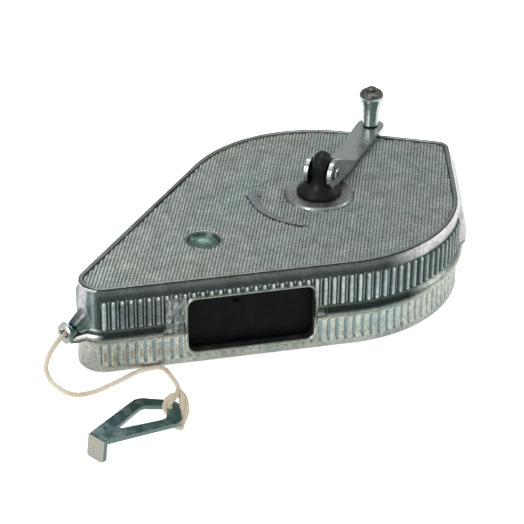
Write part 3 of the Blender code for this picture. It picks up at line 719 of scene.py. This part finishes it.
def make_case_upper(surface):
    bm = bmesh.new()
    bottom, edge = loft_rings(bm, side_rows(UPPER_LEVELS, upper_offset))
    arrow_foot, arrow_polygon = raised_arrow(bm)
    hub_hole = case_top(bm, edge, arrow_foot, arrow_polygon)
    inner_low, inner_high = loft_rings(bm, [offset_row(-WALL, SEAM[1]), offset_row(-WALL, CEILING_Z)])
    bridge(bm, inner_low, bottom)
    cup_foot, cup_floor = loft_rings(bm, [circle(DIMPLE_X, 0, CUP_R, z, 48) for z in (CEILING_Z, 22.3)])
    bm.faces.new(cup_floor)

    def on_ceiling(points):
        return (
            inside_outline(points, -WALL + 0.01)
            & outside_circle(points, 0, 0, HUB_HOLE_R)
            & outside_circle(points, DIMPLE_X, 0, CUP_R)
        )

    cap(bm, [inner_high, hub_hole, cup_foot], on_ceiling)
    shell = smooth_object("case_upper_cast", bm, surface)
    join(shell, "UNION", [window_frame("frame_upper", (SEAM[1] + 0.15, 25.0)), *upper_inside()])
    join(
        shell,
        "DIFFERENCE",
        [
            block("nose_flat", (NOSE_FLAT_X - 5, NOSE_FLAT_X), (-6.0, 6.0), (9.0, 22.0)),
            turned("ferrule_hole", [(2.3, -92.0), (2.3, -79.0)], (0, 0, LINE_Z), "X"),
            window_cutter("window_upper"),
        ],
    )
    return shell


# ---------------------------------------- lower half of the case


def lower_offset(run, z):
    """How far the lower half's side stands out from the outline, with flutes sunk between the ribs above."""
    wall = ramp_through([(0.0, -0.5), (0.25, 0.1), (0.7, 0.7), (1.2, 0.85), (3.0, 0.8), (SEAM[0], 0.6)], z)
    end = ramp_through(
        [
            (FLUTE_Z[0] - 0.5, 0.0), (FLUTE_Z[0] + 0.4, 1.0), (FLUTE_Z[1] - 0.2, 1.0),
            (FLUTE_Z[1] + 0.5, 0.0)
        ], z
    )
    wall -= tail_weight(run)
    fluted = 0 < front_run(run) - FIRST_RIB < (RIBS - 1) * RIB_PITCH
    flute = 1.0 if fluted or rib_place(run) != 0.5 else 0.0
    return wall - FLUTE_DEPTH * flute * end * ramp_through(
        [(0.22, 0.0), (0.32, 0.5), (0.38, 0.85), (0.5, 1.0)], rib_place(run)
    )


LOWER_LEVELS = [
    0.0, 0.08, 0.25, 0.5, 0.9, 1.5, 2.2, 2.45, 2.7, 3.0, 3.3, 4.5, 6.0, 7.5, 8.4, 8.8, 9.1, 9.4, SEAM[0]
]


def make_case_lower(surface):
    bm = bmesh.new()
    bottom, top = loft_rings(bm, side_rows(LOWER_LEVELS, lower_offset))
    low_ring, high_ring = loft_rings(
        bm, [offset_row(-WALL + 0.1, FLOOR_Z), offset_row(-WALL + 0.1, SEAM[0])]
    )
    bridge(bm, top, high_ring)
    cap(bm, [bottom], lambda p: inside_outline(p, 0.5))
    cap(bm, [low_ring], lambda p: inside_outline(p, 0.5))
    shell = smooth_object("case_lower_cast", bm, surface)
    join(shell, "UNION", [window_frame("frame_lower", (0.8, SEAM[0] - 0.15)), *lower_inside()])
    holes = [turned(f"hole_{i}", [(1.5, -1.0), (1.5, 12.5)], (x, y, 0)) for i, (x, y) in enumerate(SCREWS)]
    holes += [turned(f"sink_{i}", [(2.6, -1.0), (2.6, 2.9)], (x, y, 0)) for i, (x, y) in enumerate(SCREWS)]
    join(shell, "DIFFERENCE", [window_cutter("window_lower"), *holes])
    return shell


# ---------------------------------------- solids joined to or cut from the halves


def block(name, x, y, z):
    bm = bmesh.new()
    corners = [(x[0], y[0]), (x[1], y[0]), (x[1], y[1]), (x[0], y[1])]
    low, high = loft_rings(bm, [[(*p, level) for p in corners] for level in z])
    bm.faces.new(low)
    bm.faces.new(high)
    return smooth_object(name, bm, None)


def turned(name, profile, centre, axis="Z", steps=32, surface=None):
    """A turned piece from (radius, height) points about an axis through a centre."""
    bm = bmesh.new()
    rings = []
    for radius, height in profile:
        ring = []
        for i in range(steps):
            a, b = radius * math.cos(2 * math.pi * i / steps), radius * math.sin(2 * math.pi * i / steps)
            place = {"X": (height, a, b), "Y": (a, height, b), "Z": (a, b, height)}[axis]
            ring.append([p + c for p, c in zip(place, centre)])
        rings.append(ring)
    low, high = loft_rings(bm, rings)
    bm.faces.new(low)
    bm.faces.new(high)
    return smooth_object(name, bm, surface)


def join(target, operation, tools):
    """Joins or cuts every tool at once and applies the result."""
    for tool in tools:
        modifier = target.modifiers.new(tool.name, "BOOLEAN")
        modifier.operation = operation
        modifier.solver = "EXACT"
        modifier.object = tool
        with bpy.context.temp_override(object=target, active_object=target):
            bpy.ops.object.modifier_apply(modifier=modifier.name)
        bpy.data.objects.remove(tool)


def on_wall(s, d):
    """Plan position at distance s along the -Y side wall and d outwards from the spool axis."""
    out = Vector((math.cos(SIDE), math.sin(SIDE)))
    return out * d + Vector((-out.y, out.x)) * (s - WALL_LENGTH)


def wall_prism(name, outline, depths):
    """Outlines of (s, z) points joined through the side wall at several distances."""
    bm = bmesh.new()
    low, high = loft_rings(
        bm, [[(*on_wall(s, d), z) for s, z in points] for points, d in zip(outline, depths)]
    )
    bm.faces.new(low)
    bm.faces.new(high)
    return smooth_object(name, bm, None)


def rounded_rectangle(x, y, radius, steps=8):
    points = []
    for turn, (cx, cy) in enumerate([(x[1], y[1]), (x[0], y[1]), (x[0], y[0]), (x[1], y[0])]):
        centre = (cx - radius if cx == x[1] else cx + radius, cy - radius if cy == y[1] else cy + radius)
        for i in range(steps + 1):
            angle = (turn + i / steps) * math.pi / 2
            points.append((centre[0] + radius * math.cos(angle), centre[1] + radius * math.sin(angle)))
    return points


def window_outline(grow):
    s = (WINDOW_S[0] - grow, WINDOW_S[1] + grow)
    z = (WINDOW_Z[0] - grow, WINDOW_Z[1] + grow)
    return rounded_rectangle(s, z, WINDOW_CORNER + grow)


def window_frame(name, z):
    """Raised rim round the window between two heights, its outer edge softened."""
    grows, depths = (FRAME_RIM, FRAME_RIM, FRAME_RIM - 0.5, FRAME_RIM - 0.9), (39.0, 40.9, 41.35, FRAME_D)
    frame_body = wall_prism(name, [window_outline(g) for g in grows], depths)
    s = (WINDOW_S[0] - 5, WINDOW_S[1] + 5)
    keep = wall_prism(
        name + "_keep", [[(s[0], z[0]), (s[1], z[0]), (s[1], z[1]), (s[0], z[1])]] * 2, (38.5, 43.0)
    )
    join(frame_body, "INTERSECT", [keep])
    return frame_body


def window_cutter(name):
    grows, depths = (0.0, 0.0, 0.35, 0.7), (37.5, FRAME_D - 0.4, FRAME_D - 0.05, FRAME_D + 0.3)
    return wall_prism(name, [window_outline(g) for g in grows], depths)


def upper_inside():
    """Door rail, felt seat and screw bosses under the top wall."""
    first, last = RAIL_S
    top = CEILING_Z + 0.4
    rail = [[(first, RAIL_TOP_Z), (last, RAIL_TOP_Z), (last, top), (first, top)]] * 2
    lip = [[(first + 0.1, 20.0), (last - 0.2, 20.0), (last - 0.2, 22.6), (first + 0.1, 22.6)]] * 2
    bosses = [
        turned(f"boss_{i}", [(2.8, 10.9), (2.8, CEILING_Z + 0.7)], (x, y, 0), steps=24)
        for i, (x, y) in enumerate(SCREWS)
    ]
    seat = block("felt_seat_upper", (-79.8, -70.9), (-4.0, 4.0), (19.0, CEILING_Z + 0.5))
    return [
        wall_prism("rail_block", rail, (34.8, 38.6)), wall_prism("rail_lip", lip, (35.0, 36.1)), seat,
        *bosses
    ]


def lower_inside():
    """Centre post, door rail, felt seat and screw bosses on the floor."""
    first, last = RAIL_S[0] + 0.1, RAIL_S[1] - 0.2
    lip = [[(first, 1.3), (last, 1.3), (last, 4.6), (first, 4.6)]] * 2
    bosses = [
        turned(f"foot_{i}", [(3.1, 1.6), (3.1, 10.2)], (x, y, 0), steps=24)
        for i, (x, y) in enumerate(SCREWS)
    ]
    seat = block("felt_seat_lower", (-79.8, -70.9), (-4.0, 4.0), (1.5, 8.0))
    post = turned("post", [(3.0, 1.4), (3.0, 8.1), (2.5, 8.6)], (0, 0, 0))
    return [wall_prism("lower_lip", lip, (35.0, 36.1)), seat, post, *bosses]


# ---------------------------------------- tone and painted light
# The base colour of the case halves holds tone and wear, and also highlights, dark reflections,
# shade and shadows that are painted in place: they stay on the case whatever the lights do.


# LILAC, GREY, WHITE and DARK serve as painted reflections, glints and shade on the upper half.
PALE, LILAC, GREY = (0.39, 0.42, 0.38), (0.42, 0.415, 0.45), (0.25, 0.285, 0.27)
DARK, SLATE = (0.028, 0.038, 0.036), (0.19, 0.25, 0.265)
# WARM is the brown of worn ribs; the seam's brown is a painted shadow in the gap between the halves.
WARM, SEAM_SHADOW = (0.20, 0.14, 0.06), (0.09, 0.075, 0.045)
WHITE = (1.0, 1.0, 0.98)
# Distances along the outline over which the side's painted light turns bright towards the tail
TAIL_SHINE = (92.0, 97.0)


def blend_colours(a, b, share):
    return [p + (q - p) * share for p, q in zip(a, b)]


def colour_through(stops, value):
    return [ramp_through([(place, colour[k]) for place, colour in stops], value) for k in range(3)]


def band_painted_light(away, z):
    """Smooth band above the ribs: painted dark along the front and bright towards the tail."""
    front = colour_through(
        [(22.9, DARK), (23.9, DARK), (24.8, (0.065, 0.08, 0.077)), (26.05, (0.105, 0.115, 0.105))], z
    )
    bright = colour_through(
        [(22.9, GREY), (23.6, LILAC), (25.4, (0.50, 0.49, 0.53)), (26.05, (0.56, 0.55, 0.50))], z
    )
    return blend_colours(
        front, bright, ramp_through([(TAIL_SHINE[0] - 6, 0.0), (TAIL_SHINE[1], 1.0)], away)
    )


def bead_painted_light(away, z):
    """Bead along the seam: painted shadow at the seam, painted dark in front, a painted white glint round the
    nose, and painted pale at the tail.
    """
    front = colour_through(
        [
            (10.8, SEAM_SHADOW), (11.1, (0.26, 0.29, 0.26)), (11.7, (0.10, 0.12, 0.11)), (12.4, DARK),
            (13.4, DARK), (13.7, (0.16, 0.18, 0.16)), (14.2, DARK)
        ], z
    )
    nose = colour_through(
        [
            (10.8, SEAM_SHADOW), (11.1, DARK), (11.9, GREY), (12.3, WHITE), (12.7, WHITE), (13.0, DARK),
            (13.6, DARK), (14.0, PALE)
        ], z
    )
    tail = colour_through(
        [(10.8, (0.36, 0.35, 0.27)), (11.1, (0.33, 0.37, 0.33)), (13.2, (0.30, 0.34, 0.31)), (14.2, DARK)],
        z
    )
    mixed = blend_colours(nose, front, ramp_through([(3.6, 0.0), (6.2, 1.0)], away))
    return blend_colours(mixed, tail, ramp_through([(TAIL_SHINE[0], 0.0), (TAIL_SHINE[1] + 3, 1.0)], away))


def rib_painted_light(away, place, z):
    """Ribs in painted light: crests toned along the outline, glints at both crest ends, dark flanks, a bright
    line between ribs.
    """
    crest_tone = ramp_through(
        [(6.0, 0.42), (8.0, 0.40), (9.6, 0.15), (30.0, 0.17), (60.0, 0.38), (86.0, 0.36), (98.0, 0.26)],
        away
    )
    crest = [crest_tone * 0.86, crest_tone, crest_tone * 1.0]
    top = crest
    if away < TAIL_SHINE[0] + 6:
        top = (0.92, 0.94, 0.93) if place < 0.05 else (0.42, 0.45, 0.44)
    crest = colour_through(
        [(14.3, (0.42, 0.52, 0.54)), (15.0, crest), (21.9, crest), (22.1, top), (22.5, top), (22.6, DARK)],
        z
    )
    teal = (0.055, 0.085, 0.083)
    gap = ramp_through([(50.0, 0.30), (86.0, 0.22), (95.0, 0.02)], away)
    return colour_through(
        [
            (0.0, crest), (0.11, crest), (0.22, teal), (0.38, (0.036, 0.05, 0.048)),
            (0.5, (gap * 0.9, gap, gap))
        ],
        place
    )


def on_frame(run, out, z):
    """True on the raised rim round the window."""
    s = wall_s(run)
    return s is not None and out > 1.2 and WINDOW_S[0] - 1.6 < s < WINDOW_S[1] + 1.6 and z < WINDOW_Z[1] + 1.6


def upper_tone_and_painted_light(run, out, z):
    """Base colour of the upper half, tone and painted light, at a distance along the outline, distance
    outside it, and height.
    """
    away = front_run(run)
    if out < -0.3 and z > CEILING_Z + 0.1:
        # The rim's tone, lilac near the nose and greyer along the outline, is a painted reflection.
        rim = blend_colours(LILAC, GREY, ramp_through([(6.0, 0.3), (40.0, 0.9)], away))
        if out > -RIM - 0.05:
            return rim
        # Painted shadow along the step from the rim down to the knurl, fading into the rim's tone towards the
        # tail.
        if out > -RIM - 0.13:
            return blend_colours((0.05, 0.045, 0.04), rim, ramp_through([(60.0, 0.0), (84.0, 0.8)], away))
        # The knurl is painted dark in its grooves and light on its studs, as painted shade and highlight;
        # higher up, the boss and the arrow take one flat tone.
        ring = (0.34, 0.335, 0.36)
        return colour_through(
            [(KNURL_Z, (0.06, 0.072, 0.069)), (KNURL_TOP, (0.50, 0.55, 0.525)), (26.1, ring)], z
        )
    # Inside faces: painted shade above 23.2 mm, under the top and in the lock socket's bowl; a paler tone
    # lower down.
    if out < -0.5:
        return (0.14, 0.22, 0.19) if z > 23.2 else (0.30, 0.33, 0.31)
    # Painted dark reflection along the rounded top edge of the side.
    if z > 26.1:
        return DARK
    s = wall_s(run)
    if s is not None and ROUGH_S[0] < s < ROUGH_S[1] and z < 21.4 and not on_frame(run, out, z):
        tone = max(0.03, 0.16 + 0.26 * noise.noise(Vector((s * 1.1, z * 0.9, 5.0))))
        return (tone * 0.90, tone, tone * 0.96)
    if z < 14.1 and not on_frame(run, out, z):
        return bead_painted_light(away, z)
    # Swelling round the ferrule: painted shade low down, turning towards a painted lilac reflection higher
    # up.
    if boss_out(run, z) > 0.6:
        return blend_colours((0.08, 0.12, 0.12), LILAC, ramp_through([(16.0, 0.0), (18.0, 0.5)], z))
    if on_frame(run, out, z):
        return (0.25, 0.27, 0.22)
    flank = band_painted_light(away, z) if z > 22.72 else DARK
    # Round the nose: a painted highlight under the top edge, and painted reflections in bands, lilac, teal, a
    # light streak, then dark.
    if away < FIRST_RIB - 0.4 * RIB_PITCH or (z > 22.72 and away < 8.0):
        if z > 25.7 and 0.8 < away < 4.6:
            return (0.80, 0.80, 0.76)
        reflection_streak, teal = (0.26, 0.30, 0.29), (0.13, 0.17, 0.17)
        return colour_through(
            [
                (0.0, LILAC), (1.2, LILAC), (2.1, teal), (3.0, teal), (3.6, reflection_streak),
                (4.1, (0.08, 0.10, 0.10)), (5.0, flank)
            ],
            away
        )
    if z > 22.72:
        return flank
    # Smooth pad round the tail: a painted lilac reflection, greyer at its foot and at its top.
    if tail_weight(run) > 0:
        return colour_through([(14.0, (0.30, 0.34, 0.31)), (15.5, LILAC), (21.0, LILAC), (22.7, GREY)], z)
    return rib_painted_light(away, rib_place(run), z)


def lower_tone_and_painted_light(run, out, z):
    """Base colour of the lower half: pale ribs worn brown near the nose, slate in the flutes, and a painted
    shadow along the seam.
    """
    if out < -0.5 or z < 0.3:
        return (0.34, 0.37, 0.35)
    if on_frame(run, out, z):
        return (0.36, 0.40, 0.34)
    # Painted shadow along the seam between the halves.
    if z > SEAM[0] - 0.12:
        return SEAM_SHADOW
    land = (0.31, 0.33, 0.30)
    s = wall_s(run)
    if s is not None and WINDOW_S[0] - 1 < s < WINDOW_S[1] + 1:
        return land
    flutes_start = FIRST_RIB - 0.5 * RIB_PITCH
    if not FLUTE_Z[0] - 0.3 < z < FLUTE_Z[1] + 0.3 or front_run(run) < flutes_start or tail_weight(run) > 0:
        return land
    worn = ramp_through([(3.4, 0.0), (4.4, 0.8), (6.6, 0.9), (7.8, 0.0)], z)
    worn *= ramp_through([(20.0, 1.0), (34.0, 0.25)], front_run(run))
    worn *= ramp_through([(0.0, 1.0), (0.11, 0.8), (0.22, 0.0)], rib_place(run))
    rib = blend_colours(PALE, WARM, worn)
    return colour_through([(0.30, rib), (0.38, SLATE), (0.5, SLATE)], rib_place(run))


def paint(obj, tone_and_painted_light_at):
    """Stores the colour of tone and painted light on every vertex of a half, from where it lies on the
    outline.
    """
    count = len(obj.data.vertices)
    flat = np.empty(count * 3)
    obj.data.vertices.foreach_get("co", flat)
    points = flat.reshape(-1, 3) / MM
    runs = np.arange(0.0, 2 * HALF_RUN, 0.1)
    tree = kdtree.KDTree(len(runs))
    for i, run in enumerate(runs):
        tree.insert(Vector((*outline_at(run), 0.0)), i)
    tree.balance()
    reach = stand_out(points[:, :2])
    tone_and_painted_light = np.ones((count, 4))
    for i, (x, y, z) in enumerate(points):
        run = 0.0 if reach[i] < -2.5 else runs[tree.find(Vector((x, y, 0.0)))[1]]
        tone_and_painted_light[i, :3] = tone_and_painted_light_at(run, reach[i], z)
    layer = obj.data.attributes.new("tone_and_painted_light", "FLOAT_COLOR", "POINT")
    layer.data.foreach_set("color", tone_and_painted_light.ravel())


# ---------------------------------------- twisted line


def smooth_route(points, spacing):
    """Points at an even spacing on a Catmull-Rom curve through a route."""
    route = [Vector(p) for p in points]
    route = [2 * route[0] - route[1], *route, 2 * route[-1] - route[-2]]
    dense = []
    for a, b, c, d in zip(route, route[1:], route[2:], route[3:]):
        for i in range(16):
            t = i / 16
            dense.append(
                b + 0.5 * ((c - a) * t + (2 * a - 5 * b + 4 * c - d) * t**2 + (3 * b - a - 3 * c + d) * t**3)
            )
    dense.append(route[-2])
    runs = np.concatenate([[0.0], np.cumsum([(b - a).length for a, b in zip(dense, dense[1:])])])
    count = max(2, round(runs[-1] / spacing))
    wanted = np.linspace(0.0, runs[-1], count + 1)
    return [Vector([np.interp(w, runs, [p[k] for p in dense]) for k in range(3)]) for w in wanted]


def add_strand(bm, route, radius, lay=5.2):
    """Three-strand line along a route: a tube whose lobed section turns as it goes."""
    points = smooth_route(route, 0.3)
    sides = 18
    rows, side = [], None
    for i, point in enumerate(points):
        ahead = (points[min(i + 1, len(points) - 1)] - points[max(i - 1, 0)]).normalized()
        if side is None:
            side = ahead.orthogonal().normalized()
        side = (side - ahead * side.dot(ahead)).normalized()
        other = ahead.cross(side)
        turn = 2 * math.pi * i * 0.3 / lay
        ring = []
        for k in range(sides):
            angle = 2 * math.pi * k / sides
            lobe = 0.84 + 0.16 * abs(math.cos(1.5 * (angle - turn)))
            fuzz = 0.03 * noise.noise(Vector((i * 0.7, k * 0.9, 1.0)))
            ring.append(point + (side * math.cos(angle) + other * math.sin(angle)) * radius * (lobe + fuzz))
        rows.append(ring)
    first, last = loft_rings(bm, rows)
    bm.faces.new(first)
    bm.faces.new(last)
    return points


def twisted_line(name, routes, surface, radius=LINE_R):
    """One object of strands, and the centreline of its first strand."""
    bm = bmesh.new()
    paths = [add_strand(bm, route, radius) for route in routes]
    return smooth_object(name, bm, surface, angle=60.0), paths[0]


# ---------------------------------------- hub


def hub_section(half_x, half_y, power, lean, z):
    """Rounded section of the hub in line with the crank, part of the way over to the crank's own middle."""
    ring = []
    for k in range(48):
        c, s = math.cos(2 * math.pi * k / 48), math.sin(2 * math.pi * k / 48)
        x = half_x * math.copysign(abs(c) ** (2 / power), c)
        y = half_y * math.copysign(abs(s) ** (2 / power), s) + lean * CRANK_SIDE
        turn = Vector((math.cos(CRANK_AZIMUTH), math.sin(CRANK_AZIMUTH)))
        ring.append((x * turn.x - y * turn.y, x * turn.y + y * turn.x, z))
    return ring


def make_hub(surface):
    """Square shank and shaft in the case, and a bell that narrows into the finger the crank folds on."""
    sections = [
        (3.5, 3.5, 12, 0, 12.9), (3.5, 3.5, 12, 0, 22.1), (4.4, 4.4, 2, 0, 22.1), (4.4, 4.4, 2, 0, 26.9),
        (6.2, 6.2, 2, 0, 26.9), (6.5, 6.5, 2, 0, 27.1), (6.45, 6.45, 2, 0, 27.5), (6.1, 6.1, 2, 0.1, 28.1),
        (5.4, 5.3, 2, 0.3, 28.9), (4.7, 4.4, 2, 0.6, 29.7), (4.1, 3.5, 2.1, 0.9, 30.6),
        (3.8, 3.0, 2.2, 1, 31.6), (3.7, 2.88, 2.3, 1, 33.4), (3.65, 2.88, 2.3, 1, 35.6),
        (3.5, 2.8, 2.2, 1, 37.0), (3.0, 2.5, 2.1, 1, 38.2), (2.2, 1.9, 2, 1, 39.1),
        (1.1, 1.0, 2, 1, 39.65), (0.3, 0.3, 2, 1, 39.78),
    ]
    bm = bmesh.new()
    low, high = loft_rings(bm, [hub_section(*section) for section in sections])
    bm.faces.new(low)
    bm.faces.new(high)
    return smooth_object("hub_grip", bm, surface, angle=40.0)


# ---------------------------------------- studio


def camera():
    azimuth, elevation = math.radians(CAMERA_AZIMUTH), math.radians(CAMERA_ELEVATION)
    level = math.cos(elevation)
    back = Vector((math.sin(azimuth) * level, -math.cos(azimuth) * level, math.sin(elevation)))
    right = Vector((0, 0, 1)).cross(back).normalized()
    up = back.cross(right)
    roll = math.radians(CAMERA_ROLL)
    right, up = right * math.cos(roll) + up * math.sin(roll), up * math.cos(roll) - right * math.sin(roll)
    data = bpy.data.cameras.new("camera")
    data.lens = CAMERA_LENS
    data.sensor_width = 36.0
    data.clip_start, data.clip_end = 0.01, 20.0
    obj = bpy.data.objects.new("camera", data)
    bpy.context.scene.collection.objects.link(obj)
    turn = Matrix((right, up, back)).transposed().to_4x4()
    obj.matrix_world = Matrix.Translation((Vector(CAMERA_TARGET) + back * CAMERA_DISTANCE) * MM) @ turn
    bpy.context.scene.camera = obj


def area_light(name, place, target, size, power, colour=(1, 1, 1)):
    data = bpy.data.lights.new(name, "AREA")
    data.shape = "RECTANGLE"
    data.size, data.size_y = size
    data.energy = power
    data.color = colour
    obj = bpy.data.objects.new(name, data)
    bpy.context.scene.collection.objects.link(obj)
    obj.location = place
    obj.rotation_euler = (Vector(place) - Vector(target)).to_track_quat("Z", "Y").to_euler()


def world():
    """Soft room: dark low in front of the tool, paler behind it and overhead."""
    made = bpy.data.worlds.new("room")
    bpy.context.scene.world = made
    made.use_nodes = True
    tree = made.node_tree
    place = tree.nodes.new("ShaderNodeTexCoord").outputs["Generated"]
    split = tree.nodes.new("ShaderNodeSeparateXYZ")
    ramp = tree.nodes.new("ShaderNodeValToRGB")
    tree.links.new(place, split.inputs["Vector"])
    tree.links.new(split.outputs["Z"], ramp.inputs["Fac"])
    stops = [
        (0.0, (0.10, 0.12, 0.12)), (0.15, (0.30, 0.33, 0.33)), (0.45, (0.72, 0.75, 0.74)),
        (0.95, (0.9, 0.9, 0.9))
    ]
    while len(ramp.color_ramp.elements) < len(stops):
        ramp.color_ramp.elements.new(0.5)
    for element, (position, colour) in zip(ramp.color_ramp.elements, stops):
        element.position = position
        element.color = (*colour, 1.0)
    background = tree.nodes["Background"]
    tree.links.new(ramp.outputs["Color"], background.inputs["Color"])
    background.inputs["Strength"].default_value = 0.8


def floor():
    made = Nodes("studio floor")
    made.put(
        base_color=(0.93, 0.93, 0.93), roughness=0.9, emission_color=(1.0, 1.0, 1.0), emission_strength=0.68
    )
    bm = bmesh.new()
    bmesh.ops.create_circle(bm, cap_ends=True, segments=64, radius=3.0)
    obj = smooth_object("studio_floor", bm, made.material)
    obj.location.z = -0.02 * MM


def lights():
    area_light("left", (-0.75, -0.15, 0.45), (-0.03, 0, 0), (0.35, 0.5), 2.2)
    area_light("right", (0.75, -0.45, 0.45), (0, 0, 0), (0.3, 0.5), 1.6, (0.96, 0.95, 1.0))
    area_light("overhead", (0.05, 0.1, 0.9), (0, 0, 0), (0.5, 0.4), 2.5)


# ---------------------------------------- assembly


def dress(node, surface, bevel=0.0, segments=2, angle=35.0):
    """Gives a CAD node its material, soft edges and smooth shading."""
    obj = NODES[node]
    obj.data.materials.clear()
    obj.data.materials.append(surface)
    obj.data.shade_smooth()
    obj.data.set_sharp_from_angle(angle=math.radians(angle))
    if bevel:
        modifier = obj.modifiers.new("soft edges", "BEVEL")
        modifier.width = bevel * MM
        modifier.segments = segments
        modifier.limit_method = "ANGLE"
        modifier.angle_limit = math.radians(40)
        modifier.harden_normals = True


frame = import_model()
NODES = frame["nodes"]
camera()

line = cotton_line()
free_line, free_path = twisted_line("free_line", [FREE_ROUTE], line)
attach(free_line, "case")
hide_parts("line_free")
for name, routes, node in (("hitch_wrap", HITCH_WRAP, "line_knot"), ("hitch_eye", HITCH_EYE, "hook_loop")):
    strands, _ = twisted_line(name, routes, line, 0.82)
    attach(strands, "hook")
    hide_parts(node)

zinc = cast_zinc()
for maker, tone_and_painted_light_at, node in (
    (make_case_upper, upper_tone_and_painted_light, "case_upper"),
    (make_case_lower, lower_tone_and_painted_light, "case_lower"),
):
    half = maker(zinc)
    paint(half, tone_and_painted_light_at)
    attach(half, "case")
    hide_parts(node)

steel = plated_steel()
for node in ("case_screw_nose", "case_screw_tail", "case_screw_left", "case_screw_right", "hub_screw"):
    dress(node, steel, 0.15)
for node in ("crank_arm", "crank_pin"):
    dress(node, steel, 0.12)
dress("line_ferrule", blue_zinc(), 0.12)
bright = turned_steel()
for node in ("crank_knob", "knob_rivet"):
    dress(node, bright)
dress("line_hook", blue_zinc(), 0.2)
dress("chalk_door", black_plastic(), 0.2)
hub = make_hub(painted_hub())
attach(hub, "reel")
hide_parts("drive_hub")
dress("spool", spool_plastic(), 0.2)
for node in ("line_winding", "line_inside"):
    dress(node, line)
for node in ("felt_wiper_lower", "felt_wiper_upper", "hub_felt_seal"):
    dress(node, felt())
for node in ("washer_lower", "washer_upper"):
    dress(node, fibre())

floor()
lights()
world()
bpy.context.scene.view_settings.view_transform = "Standard"
